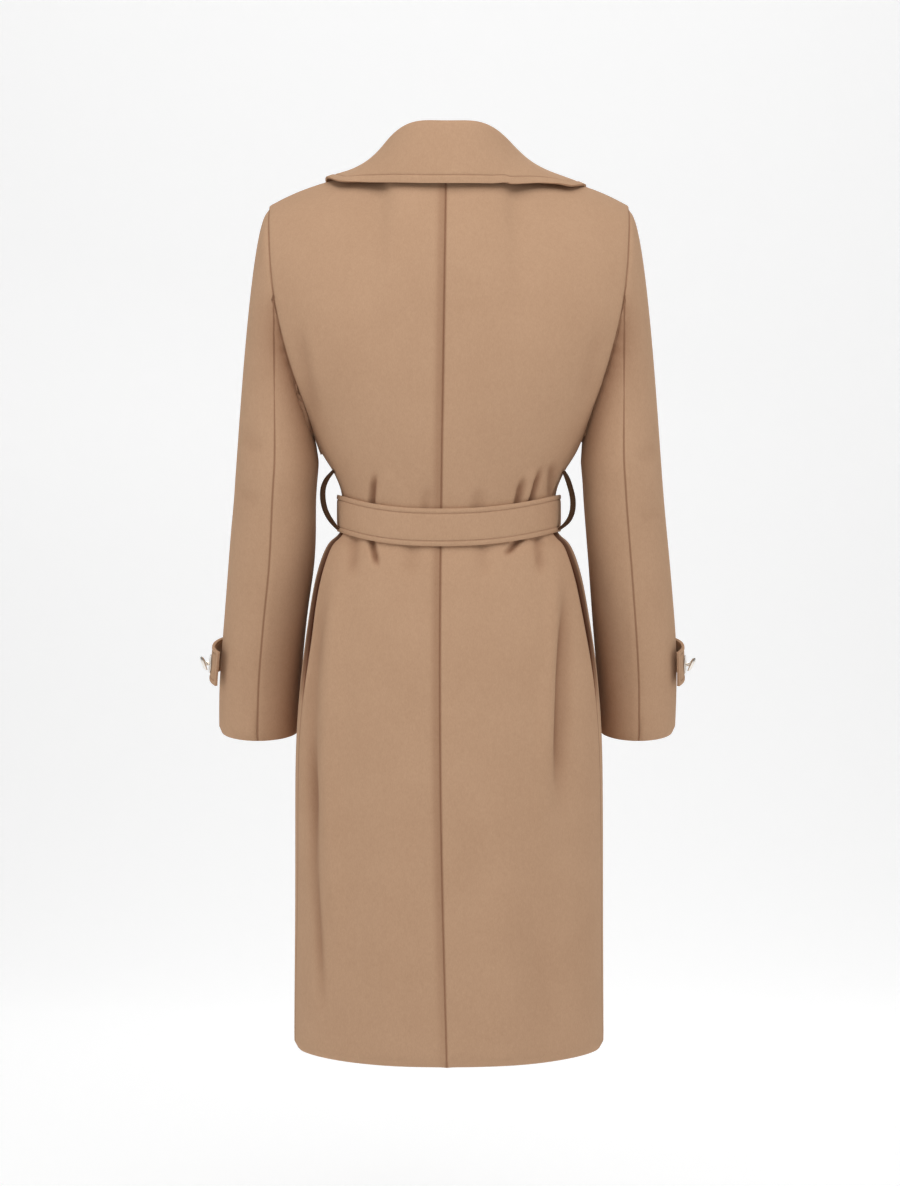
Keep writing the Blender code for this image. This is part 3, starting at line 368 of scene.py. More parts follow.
# %% [markdown]
# Where two pieces are sewn together, the cloth turns in to the seam, which leaves a narrow valley with soft
# shoulders. A point of the outline is on a seam if another piece's outline runs beside it.

# %% Find the seams and press them in
PANELS = ("back", "front", "top_sleeve", "under_sleeve")
BODY_NODES = [node for node in CLOTH_NODES if node.startswith(PANELS)]
SEAM_DEPTH = 0.0011
SEAM_WIDTH = 0.0034
SEAM_NEAR = 0.0025           # outline points closer to another piece than this are sewn to it
SEAM_LAP = 0.0005            # each edge reaches this far past the seam's middle, so no light comes through
SEAM_REACH = 0.02            # distances to a seam are read up to here
FAR = 0.05                   # a distance that means nowhere near


def outward_of(mesh):
    """For each point of a sheet's outline, the direction that leads off the sheet."""
    bm = bmesh.new()
    bm.from_mesh(mesh)
    found = []
    for vert in bm.verts:
        if vert.is_boundary:
            inner = [edge.other_vert(vert).co for edge in vert.link_edges if not edge.is_boundary]
            middle = sum(inner, Vector()) / len(inner) if inner else vert.co
            found.append((vert.co - middle).normalized())
    bm.free()
    return np.array(found)


def close_seam(node, before):
    """Bring the seam points of a sheet together with their neighbours'.

    Gives, for each point of its outline, whether it lies on a seam.
    """
    mesh = sheets[node].data
    own = before[node]
    others = np.concatenate([before[other] for other in BODY_NODES if other != node])
    tree = kdtree.KDTree(len(others))
    for number, place in enumerate(others):
        tree.insert(place, number)
    tree.balance()
    found = [tree.find(place) for place in own]
    near = np.array([hit[2] < SEAM_NEAR for hit in found])
    for number, hit, sewn, off in zip(outlines[node], found, near, outward_of(mesh)):
        if sewn:
            mesh.vertices[number].co = (mesh.vertices[number].co + hit[0]) / 2 + Vector(off) * SEAM_LAP
    mesh.update()
    return near


def note(mesh, name, values):
    """Keep one number for each point of a mesh, for its material to read."""
    layer = mesh.attributes.new(name, "FLOAT", "POINT")
    layer.data.foreach_set("value", values.astype(np.float32))


before = {node: points_of(sheets[node].data)[0][outlines[node]] for node in BODY_NODES}
seams = {node: close_seam(node, before) for node in BODY_NODES}
seam_away = {node: np.full(len(made.data.vertices), FAR) for node, made in sheets.items()}
for node, sewn in seams.items():
    away = distances(points_of(sheets[node].data)[0], before[node][sewn], SEAM_REACH)
    away[outlines[node][sewn]] = 0.0
    seam_away[node] = away
    shift(sheets[node].data, -SEAM_DEPTH * np.exp(-((away / SEAM_WIDTH) ** 2)))
for node in CLOTH_NODES:
    note(sheets[node].data, "seam_away", seam_away[node])
print("sewn points:", {node: int(sewn.sum()) for node, sewn in seams.items()})

# %% [markdown]
# The main folds are listed one by one. Each is a line of places (x, z) on the back or on the front, with its
# height, where a minus is a trough, and its width. It fades out towards both ends.

# %% Press the folds in
BACK, FRONT = -1, 1
FOLDS = (
    # its side, the places (x, z) that it runs through, its height and its width, in metres

    # the skirt hangs in one long fold at each side of the back, with valleys beyond it
    (BACK, ((-0.1235, -0.405), (-0.127, -0.44), (-0.134, -0.50), (-0.141, -0.58), (-0.141, -0.66),
            (-0.139, -0.71), (-0.134, -0.77), (-0.130, -0.84), (-0.125, -0.92)), 0.0034, 0.010),
    (BACK, ((-0.142, -0.43), (-0.150, -0.50), (-0.158, -0.58), (-0.158, -0.68), (-0.152, -0.80)),
     -0.0042, 0.010),
    (BACK, ((0.1225, -0.405), (0.1225, -0.44), (0.120, -0.52), (0.116, -0.58), (0.113, -0.64),
            (0.113, -0.72)), 0.0034, 0.009),
    (BACK, ((0.134, -0.43), (0.134, -0.50), (0.131, -0.58), (0.128, -0.66), (0.127, -0.74)), -0.0050, 0.009),
    (BACK, ((-0.160, -0.60), (-0.159, -0.68), (-0.154, -0.80), (-0.147, -0.90), (-0.140, -0.97)),
     -0.0042, 0.0055),
    (BACK, ((0.137, -0.46), (0.130, -0.52), (0.1265, -0.56), (0.125, -0.60), (0.124, -0.66), (0.123, -0.71)),
     -0.0036, 0.0042),
    # short gathers above and below the belt
    (BACK, ((-0.091, -0.398), (-0.089, -0.372), (-0.087, -0.350), (-0.083, -0.330)), -0.0052, 0.0036),
    (BACK, ((-0.079, -0.374), (-0.074, -0.352), (-0.066, -0.330)), 0.0025, 0.007),
    (BACK, ((0.090, -0.398), (0.095, -0.368), (0.101, -0.345), (0.109, -0.322)), -0.0054, 0.0036),
    (BACK, ((0.074, -0.398), (0.078, -0.372), (0.082, -0.352), (0.088, -0.334)), -0.0048, 0.0036),
    (BACK, ((0.1185, -0.368), (0.1195, -0.345), (0.1205, -0.318)), -0.0042, 0.005),
    (BACK, ((0.086, -0.370), (0.091, -0.350), (0.098, -0.326)), 0.0028, 0.006),
    (BACK, ((-0.028, -0.395), (-0.026, -0.368), (-0.021, -0.345)), -0.0024, 0.007),
    (BACK, ((0.031, -0.395), (0.033, -0.368), (0.036, -0.347)), -0.0024, 0.008),
    (BACK, ((-0.091, -0.388), (-0.088, -0.415), (-0.084, -0.432), (-0.080, -0.446)), -0.0050, 0.0036),
    (BACK, ((0.092, -0.395), (0.080, -0.411), (0.070, -0.422), (0.060, -0.430)), -0.0046, 0.0036),
    (BACK, ((0.100, -0.388), (0.104, -0.425), (0.106, -0.455)), -0.0036, 0.006),
    (BACK, ((-0.108, -0.388), (-0.110, -0.425), (-0.112, -0.458)), -0.0034, 0.007),
    (BACK, ((-0.040, -0.395), (-0.043, -0.430), (-0.048, -0.460)), -0.0022, 0.009),
    (BACK, ((0.035, -0.395), (0.039, -0.430), (0.043, -0.458)), -0.0022, 0.009),
    # the back's own soft pulls beside the armholes
    (BACK, ((-0.182, -0.150), (-0.171, -0.178), (-0.157, -0.262), (-0.147, -0.30)), -0.0031, 0.010),
    (BACK, ((-0.168, -0.160), (-0.157, -0.200), (-0.145, -0.26)), 0.0022, 0.011),
    (BACK, ((0.176, -0.160), (0.166, -0.200), (0.152, -0.262)), -0.0022, 0.011),
    # broad slack lower in the skirt
    (BACK, ((-0.060, -0.62), (-0.066, -0.78), (-0.078, -1.02)), 0.0034, 0.026),
    (BACK, ((0.052, -0.66), (0.060, -0.82), (0.070, -1.02)), 0.0031, 0.026),
    (BACK, ((0.100, -0.80), (0.104, -0.90), (0.108, -1.02)), -0.0025, 0.022),
    # the front: slack over the belt, gathers under it, and the skirt's hang
    (FRONT, ((0.058, -0.375), (0.060, -0.350), (0.064, -0.325), (0.074, -0.295)), -0.0046, 0.0055),
    (FRONT, ((0.090, -0.375), (0.092, -0.350), (0.097, -0.325), (0.108, -0.290)), -0.0046, 0.0055),
    (FRONT, ((-0.068, -0.375), (-0.070, -0.350), (-0.074, -0.325), (-0.084, -0.292)), -0.0046, 0.0055),
    (FRONT, ((-0.098, -0.375), (-0.100, -0.350), (-0.104, -0.330), (-0.112, -0.300)), -0.0042, 0.0055),
    (FRONT, ((0.068, -0.388), (0.071, -0.410), (0.075, -0.440), (0.082, -0.500)), -0.0042, 0.007),
    (FRONT, ((0.102, -0.388), (0.106, -0.410), (0.112, -0.440), (0.120, -0.520)), -0.0042, 0.008),
    (FRONT, ((-0.082, -0.388), (-0.086, -0.410), (-0.091, -0.440), (-0.100, -0.510)), -0.0042, 0.007),
    (FRONT, ((-0.112, -0.404), (-0.120, -0.440), (-0.130, -0.510)), -0.0031, 0.009),
    (FRONT, ((0.100, -0.60), (0.106, -0.78), (0.112, -1.01)), 0.0040, 0.022),
    (FRONT, ((-0.104, -0.62), (-0.110, -0.80), (-0.116, -1.01)), 0.0040, 0.022),
    (FRONT, ((0.140, -0.250), (0.128, -0.215), (0.118, -0.170)), -0.0025, 0.012),
    (FRONT, ((-0.140, -0.250), (-0.128, -0.215), (-0.118, -0.170)), -0.0025, 0.012),
    # soft bends in the sleeves at the elbow, seen from both sides
    (BACK, ((-0.246, -0.285), (-0.228, -0.300), (-0.212, -0.310)), -0.0022, 0.010),
    (BACK, ((-0.250, -0.350), (-0.232, -0.362), (-0.214, -0.368)), -0.0019, 0.010),
    (BACK, ((0.245, -0.300), (0.230, -0.312), (0.214, -0.318)), -0.0022, 0.010),
    (BACK, ((0.250, -0.372), (0.236, -0.382), (0.218, -0.388)), -0.0019, 0.010),
    (FRONT, ((-0.168, -0.300), (-0.190, -0.314), (-0.215, -0.318)), -0.0040, 0.008),
    (FRONT, ((-0.172, -0.345), (-0.196, -0.352), (-0.222, -0.350)), -0.0037, 0.008),
    (FRONT, ((0.168, -0.305), (0.192, -0.318), (0.216, -0.320)), -0.0040, 0.008),
    (FRONT, ((0.173, -0.352), (0.198, -0.358), (0.222, -0.356)), -0.0034, 0.008),
)
FOLD_END = 0.110             # a fold fades over this length at each end, or over a third of a short one
FACING = 2.0                 # a fold is whole where its cloth faces its side by a half or more
# painted shade in the fold troughs: how deep it is for a trough of this depth and width, and how it grows
TROUGH_DEPTH, TROUGH_WIDTH = 0.005, 0.0035
TROUGH_SHADE = 0.30          # how much deeper the colour looks in a trough of that depth and width
FRONT_SHADE = 0.10           # the same for the front's, which are soft
SHADE_POWER = 1.3            # the shade grows faster than a trough's steepness
MOST_SHADE = 1.3             # the most that troughs give, in shares of TROUGH_SHADE


def fold_height(places, normals, fold):
    """How high one fold stands at each place."""
    face, line, height, width = fold
    line = np.array(line)
    steps = np.linalg.norm(np.diff(line, axis=0), axis=1)
    length = steps.sum()
    flat = places[:, (0, 2)]
    best = np.full(len(flat), np.inf)
    along = np.zeros(len(flat))
    start = 0.0
    for a, b, step in zip(line, line[1:], steps):
        share = np.clip((flat - a) @ (b - a) / step**2, 0.0, 1.0)
        away = np.linalg.norm(flat - a - share[:, None] * (b - a), axis=1)
        nearer = away < best
        best[nearer] = away[nearer]
        along[nearer] = start + share[nearer] * step
        start += step
    end = min(FOLD_END, length / 3)
    fade = np.clip(np.minimum(along, length - along) / end, 0.0, 1.0)
    fade = fade * fade * (3.0 - 2.0 * fade)
    facing = np.clip(normals[:, 1] * face * FACING, 0.0, 1.0)
    return height * fade * facing * np.exp(-((best / width) ** 2))


def press_folds(node):
    """Press every fold into one sheet, and paint shade into its troughs."""
    mesh = sheets[node].data
    places, normals = points_of(mesh)
    total = np.zeros(len(places))
    dark = np.zeros(len(places))
    for fold in FOLDS:
        face, _, _, width = fold
        height = fold_height(places, normals, fold)
        total += height
        steep = np.clip(-height / TROUGH_DEPTH, 0.0, None) * TROUGH_WIDTH / width
        dark += (TROUGH_SHADE if face == BACK else FRONT_SHADE) * steep**SHADE_POWER
    shift(mesh, total)
    # the troughs' painted shade, kept for the wool's colour
    painted_shade[node] += np.minimum(dark, MOST_SHADE * TROUGH_SHADE)
    return float(np.abs(total).max())


painted_shade = {node: np.zeros(len(made.data.vertices)) for node, made in sheets.items()}
print("deepest fold, mm:", {node: round(press_folds(node) * 1000, 1) for node in BODY_NODES})

# %% [markdown]
# The hems are turned up and pressed, so the cloth rolls in a little over its last centimetre.

# %% Roll the hems in
# for each kind of panel: the height that its hem lies below, how far the edge rolls in, and over what height
HEMS = {"back": (-0.978, 0.0050, 0.012), "front": (-0.978, 0.0050, 0.012),
        "top_sleeve": (-0.59, 0.0028, 0.008), "under_sleeve": (-0.59, 0.0028, 0.008)}
LEVEL = 0.0012               # outline points up to this far above the hem's line belong to it as well
TURNINGS = 0.003             # the centre seam's turnings stiffen the hem over this width
NEAR_MIDDLE = 0.03           # and no other seam lies this near the coat's middle


def roll_hem(node):
    """Turn the lowest edge of a sheet inwards along a quarter of an ellipse."""
    below, inwards, reach = HEMS[node.rsplit("_", 1)[0]]
    mesh = sheets[node].data
    places = points_of(mesh)[0]
    edge = places[outlines[node]]
    low = edge[:, 2] < below
    hem = edge[~seams[node] & low]
    hem = hem[hem[:, 0].argsort()]
    level = np.interp(edge[:, 0], hem[:, 0], hem[:, 2])
    edge = edge[low & (edge[:, 2] < level + LEVEL)]
    down = 1.0 - distances(places, edge, reach) / reach
    thick = np.exp(-((seam_away[node] / TURNINGS) ** 2)) * (np.abs(places[:, 0]) < NEAR_MIDDLE)
    shift(mesh, -inwards * (1.0 - np.sqrt(1.0 - down**2)) * (1.0 - thick))
    return len(edge)


print("hem points:", {node: roll_hem(node) for node in BODY_NODES})

# %% [markdown]
# Light hardly reaches some places, and there shade is painted into the wool's colour, down to a deep brown:
# the sides of the sleeves that lie close to the coat, the fronts just below the belt, where they tuck in
# behind the back's edges, and the pressed strip along the centre back seam, which lies to the left. Each
# point gets a depth of painted shade from 0 to 1 by its distance to these places.

# %% Find the places that lie in shade
RISE_AND_FALL = (0.0, 1.0, 1.0, 0.0)

# painted shade on the sleeves beside the coat, on the fronts' side strips and along the centre seam: depths,
# reaches and heights
BESIDE_SHADE, BESIDE_REACH = 0.60, 0.013
BESIDE_LIMIT = 0.05          # a sleeve's points farther from the coat than this get none of it
BESIDE_HEIGHTS = (-0.62, -0.48, -0.28, -0.19, -0.12)
BESIDE_SHARES = (0.92, 0.42, 0.30, 0.62, 0.0)        # how much of that shade a sleeve has at these heights

TUCK_SHADE, TUCK_REACH = 0.75, 0.016
TUCK_HEIGHTS = (-0.600, -0.520, -0.400, -0.388)      # the tuck's shade comes and goes between these heights
SPREAD, SPREAD_REACH = 0.0018, 0.02                  # the fronts' sides spread towards the sleeves by this
SPREAD_HEIGHTS = (-0.60, -0.53, -0.46, -0.42)        # between these heights
BELOW_BELT = -0.38
SIDE_LIMIT = 0.03            # distances to the side seams are read up to here

CENTRE_SHADE, CENTRE_REACH = 0.11, 0.009
CENTRE_LINE, LINE_WIDTH = 0.15, 0.0011               # the seam itself is drawn in more tightly than others
CENTRE_HEIGHTS, CENTRE_SHARES = (-1.0, -0.80), (0.35, 1.0)      # it slackens towards the hem
CENTRE_SIDE = 0.02           # the centre seam's points lie this near the coat's middle
CENTRE_LIMIT = 0.03          # distances to it are read up to here


def shade_sleeve(node, places):
    """Paint shade on the side of a sleeve that lies close to the coat."""
    away = distances(places, coat, BESIDE_LIMIT)
    share = np.interp(places[:, 2], BESIDE_HEIGHTS, BESIDE_SHARES)
    painted_shade[node] += BESIDE_SHADE * share * np.exp(-away / BESIDE_REACH) * (away < BESIDE_LIMIT)


def tuck_front(node, places):
    """Spread the side of a front towards the sleeve, and paint shade on it where it tucks in behind the back.
    """
    side = before[node][seams[node]]
    away = distances(places, side[side[:, 2] < BELOW_BELT], SIDE_LIMIT)
    tuck = np.interp(places[:, 2], TUCK_HEIGHTS, RISE_AND_FALL)
    out = np.interp(places[:, 2], SPREAD_HEIGHTS, RISE_AND_FALL)
    shift(sheets[node].data, SPREAD * out * np.exp(-((away / SPREAD_REACH) ** 2)))
    painted_shade[node] += TUCK_SHADE * tuck * np.exp(-((away / TUCK_REACH) ** 4))


def shade_centre(node, places):
    """Paint shade along the centre seam's line, and on the left along the strip of its pressed turnings."""
    centre = before[node][seams[node]]
    away = distances(places, centre[np.abs(centre[:, 0]) < CENTRE_SIDE], CENTRE_LIMIT)
    sharp = np.interp(places[:, 2], CENTRE_HEIGHTS, CENTRE_SHARES)
    painted_shade[node] += CENTRE_LINE * sharp * np.exp(-((away / LINE_WIDTH) ** 2))
    if node == "back_left":
        painted_shade[node] += CENTRE_SHADE * sharp * np.exp(-((away / CENTRE_REACH) ** 4))


# a third of the points of the backs and the fronts is enough to measure a sleeve's distance from
coat = np.concatenate([points_of(sheets[node].data)[0][::3] for node in BODY_NODES if "sleeve" not in node])
for node in BODY_NODES:
    places = points_of(sheets[node].data)[0]
    if "sleeve" in node:
        shade_sleeve(node, places)
    elif node.startswith("front"):
        tuck_front(node, places)
    else:
        shade_centre(node, places)
for node in CLOTH_NODES:
    note(sheets[node].data, "painted_shade", np.clip(painted_shade[node], 0.0, 1.0))
print("deepest shade:", {node: round(float(painted_shade[node].max()), 2) for node in BODY_NODES})

# %% [markdown]
# The collar's free edge runs straight to its two tips. In the frame it hangs a few millimetres lower there,
# so it is cut higher, and the cloth above follows the cut softly. Its other edge is the seam at the neck.

# %% Trim the collar
COLLAR_TRIM = (
    # where along the collar (x), and how much higher its edge is cut there, in metres
    (-0.150, 0.0055), (-0.134, 0.0047), (-0.106, 0.0039), (-0.068, 0.0023), (-0.030, 0.0003), (0.0, 0.0),
    (0.050, 0.0004), (0.068, 0.0024), (0.074, 0.0038), (0.088, 0.0036), (0.105, 0.0030), (0.125, 0.0024),
    (0.150, 0.0008), (0.165, 0.0),
)
TRIM_REACH = 0.030           # how softly the cloth above follows the cut
TRIM_LIMIT = 0.1             # distances to the edge are read up to here
TRIM_START = 0.03            # the cut begins behind this y
TRIM_FADE = 0.04             # and is whole this far behind it
NECK_RADIUS = 0.0905         # the neck seam lies within this of the neck's middle
NECK_OVAL = 1.05             # the neck hole is this much wider than deep


def collar_edge(places):
    """Whether each place is on the collar's free edge: all of its outline but the seam at the neck."""
    return np.hypot(places[:, 0], places[:, 1] * NECK_OVAL) > NECK_RADIUS


mesh = sheets["collar"].data
places = points_of(mesh)[0]
edge = places[outlines["collar"]]
away = distances(places, edge[collar_edge(edge)], TRIM_LIMIT)
higher = np.interp(places[:, 0], *np.array(COLLAR_TRIM).T)
behind = np.clip((TRIM_START - places[:, 1]) / TRIM_FADE, 0.0, 1.0)
places[:, 2] += higher * np.exp(-((away / TRIM_REACH) ** 2)) * behind
mesh.vertices.foreach_set("co", places.ravel())
mesh.update()
print("the collar is cut higher by up to, mm:", max(rise for _, rise in COLLAR_TRIM) * 1000)

# %% [markdown]
# The collar, the lapels, the belt, its ends and the cuff tabs are topstitched near their edges. The stitches
# pull a fine groove into the cloth, and the band between groove and edge stands up soft. The seam at the neck
# has no such stitching.

# %% Press the topstitching in
GROOVE_DEPTH = 0.0007
GROOVE_WIDTH = 0.0010
BAND_HEIGHT = 0.0006
BAND_FALL = 0.25             # the band falls to the groove over this share of its width
STITCH_REACH = 0.03          # distances to an edge are read up to here


def all_round(places):
    """The whole outline, for a piece that is stitched all round."""
    return np.full(len(places), True)


# how far in from the edge each piece is stitched, and along which part of its outline
TOPSTITCHED = {
    "collar": (0.0095, collar_edge),
    "belt": (0.0058, all_round),
    "belt_end_long": (0.0058, all_round),
    "belt_end_short": (0.0058, all_round),
    "cuff_tab_left": (0.0050, all_round),
    "cuff_tab_right": (0.0050, all_round),
    "lapel_left": (0.0095, all_round),
    "lapel_right": (0.0095, all_round),
}
stitch_away = {node: np.full(len(made.data.vertices), FAR) for node, made in sheets.items()}
for node, (inset, chosen) in TOPSTITCHED.items():
    mesh = sheets[node].data
    places = points_of(mesh)[0]
    edge = places[outlines[node]]
    away = distances(places, edge[chosen(edge)], STITCH_REACH)
    groove = -GROOVE_DEPTH * np.exp(-(((away - inset) / GROOVE_WIDTH) ** 2))
    fall = np.clip((inset - away) / (inset * BAND_FALL), 0, 1)
    band = BAND_HEIGHT * np.clip(away / inset, 0, 1) ** 0.5 * fall
    shift(mesh, groove + band)
    stitch_away[node] = away - inset
for node in CLOTH_NODES:
    note(sheets[node].data, "stitch_away", stitch_away[node])
print("topstitched:", list(TOPSTITCHED))

# %% [markdown]
# Each sheet now gets the cloth's thickness on its inner side, with a Solidify modifier, and a small Bevel
# rounds the cut edges, as brushed wool does.

# %% Give the sheets their thickness
THICKNESS = {
    "collar": 0.0026, "lapel_left": 0.0030, "lapel_right": 0.0030, "belt": 0.0036, "belt_end_long": 0.0034,
    "belt_end_short": 0.0034, "carrier_left": 0.0020, "carrier_right": 0.0020, "cuff_tab_left": 0.0032,
    "cuff_tab_right": 0.0032,
}
BODY_THICKNESS = 0.0025
EDGE_ROUNDING = 0.3          # how wide a cut edge is rounded, in shares of the thickness
EDGE_SEGMENTS = 3


def soften(made, name, width, least):
    """Round the edges of a piece that turn by more than the least angle, in degrees."""
    bevel = made.modifiers.new(name, "BEVEL")
    bevel.width = width
    bevel.segments = EDGE_SEGMENTS
    bevel.limit_method = "ANGLE"
    bevel.angle_limit = math.radians(least)


def thicken(node):
    """Give a sheet its thickness and rounded edges, hang it on the frame's root body, and hide the frame node
    that it stands for.
    """
    made = sheets[node]
    depth = THICKNESS.get(node, BODY_THICKNESS)
    solid = made.modifiers.new("thickness", "SOLIDIFY")
    solid.thickness = depth
    solid.offset = -1.0
    solid.use_even_offset = False
    soften(made, "soft_edge", depth * EDGE_ROUNDING, 60)
    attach(made, "root")
    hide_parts(node)


for node in CLOTH_NODES:
    thicken(node)
print("thick:", len(CLOTH_NODES))

# %% [markdown]
# ## The wool
# Shader maths reads best as sums. This class wraps a socket of a material, so that + - * / between sockets
# and numbers add the Math nodes, and one method makes every other node.

# %% Write shader maths as sums


class Value:
    """A socket that gives a value, and that can be used in sums."""

    def __init__(self, look, socket):
        self.look = look
        self.socket = socket

    def maths(self, operation, a, b):
        return self.look.node("ShaderNodeMath", {"operation": operation}, {0: a, 1: b})

    def __add__(self, other):
        return self.maths("ADD", self, other)

    def __radd__(self, other):
        return self.maths("ADD", other, self)

    def __sub__(self, other):
        return self.maths("SUBTRACT", self, other)

    def __rsub__(self, other):
        return self.maths("SUBTRACT", other, self)

    def __mul__(self, other):
        return self.maths("MULTIPLY", self, other)

    def __rmul__(self, other):
        return self.maths("MULTIPLY", other, self)


class Look:
    """A material that is being made."""

    def __init__(self, name):
        self.material = bpy.data.materials.new(name)
        self.material.use_nodes = True
        self.tree = self.material.node_tree
        self.shader = self.tree.nodes["Principled BSDF"]

    def put(self, socket, value):
        """Set a socket, or link it when the value comes from another node."""
        if isinstance(value, Value):
            self.tree.links.new(value.socket, socket)
        else:
            socket.default_value = value

    def node(self, kind, settings, inputs, output=0):
        """Any node: its settings first, then its sockets' values or links. Gives one of its outputs."""
        made = self.tree.nodes.new(kind)
        for name, value in settings.items():
            setattr(made, name, value)
        for name, value in inputs.items():
            self.put(made.inputs[name], value)
        return Value(self, made.outputs[output])

    def set(self, **inputs):
        """Set or link sockets of the shader. Underscores stand for spaces."""
        for name, value in inputs.items():
            self.put(self.shader.inputs[name.replace("_", " ")], value)

    def place(self):
        """Each point's place on the object."""
        return self.node("ShaderNodeTexCoord", {}, {}, "Object")

    def noise(self, place, scale, detail=2.0, stretch=(1.0, 1.0, 1.0), roughness=0.5):
        """Soft noise from 0 to 1, with features of about one metre divided by the scale."""
        where = self.node("ShaderNodeMapping", {}, {"Vector": place, "Scale": stretch})
        return self.node("ShaderNodeTexNoise", {}, {"Vector": where, "Scale": scale, "Detail": detail,
                                                    "Roughness": roughness})

    def near(self, name, full, none):
        """1 where a noted distance is below the first limit, falling to 0 at the second."""
        away = self.node("ShaderNodeMath", {"operation": "ABSOLUTE"}, {0: self.noted(name)})
        return self.node("ShaderNodeMapRange", {"interpolation_type": "SMOOTHSTEP"},
                         {"Value": away, "From Min": full, "From Max": none, "To Min": 1.0, "To Max": 0.0})

    def noted(self, name):
        """A number that was kept for each point."""
        return self.node("ShaderNodeAttribute", {"attribute_name": name}, {}, "Fac")

    def deepened(self, colour, depth, deepest):
        """A colour darkened by painted shade: unchanged at depth 0, and times the deepest tint at depth 1."""
        tint = self.node("ShaderNodeGamma", {}, {"Color": (*deepest, 1.0), "Gamma": depth})
        return self.node("ShaderNodeVectorMath", {"operation": "MULTIPLY"}, {0: colour, 1: tint})

    def colours(self, share, low, high):
        """Mix two colours by a share."""
        return self.node("ShaderNodeMix", {"data_type": "RGBA"},
                         {0: share, 6: (*low, 1.0), 7: (*high, 1.0)}, 2)


print("shader helpers are ready")

# %% [markdown]
# Brushed wool has a short nap that lies downwards. It shows as fine speckles of lighter and darker camel,
# a little longer than wide, over softer clumps and very faint broad patches. The same noise, as a bump,
# breaks the light up. Wool has no gloss, only a faint sheen where the hairs catch light at the edges.

# %% Mix the wool
CAMEL_LIGHT = (0.540, 0.347, 0.223)
CAMEL_DARK = (0.410, 0.247, 0.150)
DEEPEST = (0.12, 0.065, 0.05)             # what is left of the colour where hardly any light reaches
# the belt carriers' colour: camel wool darkened all over with painted shade, for the deep shade they hang in
SHADED_CAMEL_LIGHT = (0.085, 0.042, 0.022)
SHADED_CAMEL_DARK = (0.050, 0.024, 0.012)
# painted shade in the seams' valleys and in the topstitching's grooves
SEAM_SHADE = 0.20            # how much deeper the colour looks in a seam
STITCH_SHADE = 0.09          # and in the groove of the topstitching
NAP_DEPTH = 0.00035          # how far the nap stands out, for the light that falls on it


def wool(name, light, dark):
    """Brushed wool, with painted shade in its seams, in the groove of its topstitching and wherever painted
    shade was noted.
    """
    look = Look(name)
    place = look.place()
    nap = look.noise(place, 760.0, 3.0, (1.0, 1.0, 0.42), 0.6)
    hairs = look.noise(place, 1900.0, 2.0, (1.0, 1.0, 0.25), 0.6)
    clumps = look.noise(place, 190.0, 2.0, (1.0, 1.0, 0.7))
    patches = look.noise(place, 17.0, 1.0)
    share = nap * 0.75 + hairs * 0.35 + clumps * 0.30 + patches * 0.30 - 0.35
    cloth = look.colours(share, dark, light)
    in_seam = look.near("seam_away", 0.0004, 0.0021)
    in_stitch = look.near("stitch_away", 0.0002, 0.0011)
    # all of this is painted shade: seams, stitch grooves, and the noted shade of troughs, sleeves, fronts and
    # the centre seam
    shade = in_seam * SEAM_SHADE + in_stitch * STITCH_SHADE + look.noted("painted_shade")
    look.set(Base_Color=look.deepened(cloth, shade, DEEPEST), Roughness=0.94)
    look.set(Sheen_Weight=0.11, Sheen_Roughness=0.5, Sheen_Tint=(0.9, 0.7, 0.5, 1.0), Specular_IOR_Level=0.04)
    height = nap * 0.55 + hairs * 0.25 + clumps * 0.45 - in_stitch * 2.0 - in_seam * 1.5
    bump = look.node("ShaderNodeBump", {}, {"Strength": 0.55, "Distance": NAP_DEPTH, "Height": height})
    look.set(Normal=bump)
    return look.material


# the carriers get the camel wool with painted shade all over
camel = wool("camel_wool", CAMEL_LIGHT, CAMEL_DARK)
shaded_camel = wool("camel_in_painted_shade", SHADED_CAMEL_LIGHT, SHADED_CAMEL_DARK)
for node in CLOTH_NODES:
    sheets[node].data.materials.clear()
    sheets[node].data.materials.append(shaded_camel if node.startswith("carrier") else camel)
print("materials:", [m.name for m in bpy.data.materials])

# %% [markdown]
# ## The knot and the turn-locks
# The belt is tied in front in a half knot. The frame's knot is one rounded block, so its surface is rounded
# further here and grooves are pressed in where the belt winds round itself. Their troughs get painted shade.

# %% Shape the knot
KNOT_ROUNDINGS = 3
KNOT_GROOVES = (
    # a point on each groove and the direction it runs in, across the knot's front, with depth and width
    ((-0.008, 0.006), (1.0, -1.6), 0.0022, 0.0026),
    ((0.006, -0.006), (1.0, -1.9), 0.0020, 0.0024),
    ((-0.017, -0.004), (1.0, -2.4), 0.0014, 0.0022),
    ((0.015, 0.006), (1.0, -2.2), 0.0013, 0.0022),
)
DEEPEST_GROOVE = max(depth for _, _, depth, _ in KNOT_GROOVES)
KNOT_FACING = 1.6            # a groove is whole where the knot faces forward by 1 / 1.6 or more


def refined(node, rounds):
    """A smooth copy of a frame node's mesh."""
    bm = to_squares(merged(node))
    return rounded("fine_" + node, bm, rounds) if rounds else as_object("fine_" + node, bm)


knot = refined("belt_knot", KNOT_ROUNDINGS)
places, normals = points_of(knot.data)
centre = places.mean(axis=0)
flat = (places - centre)[:, (0, 2)]
sunk = np.zeros(len(places))
for point, way, depth, width in KNOT_GROOVES:
    way = np.array(way) / np.hypot(*way)
    across = (flat - np.array(point)) @ np.array((-way[1], way[0]))
    sunk += depth * np.exp(-((across / width) ** 2))
shift(knot.data, -sunk * np.clip(normals[:, 1] * KNOT_FACING, 0.0, 1.0))
note(knot.data, "seam_away", np.full(len(places), FAR))
note(knot.data, "stitch_away", np.full(len(places), FAR))
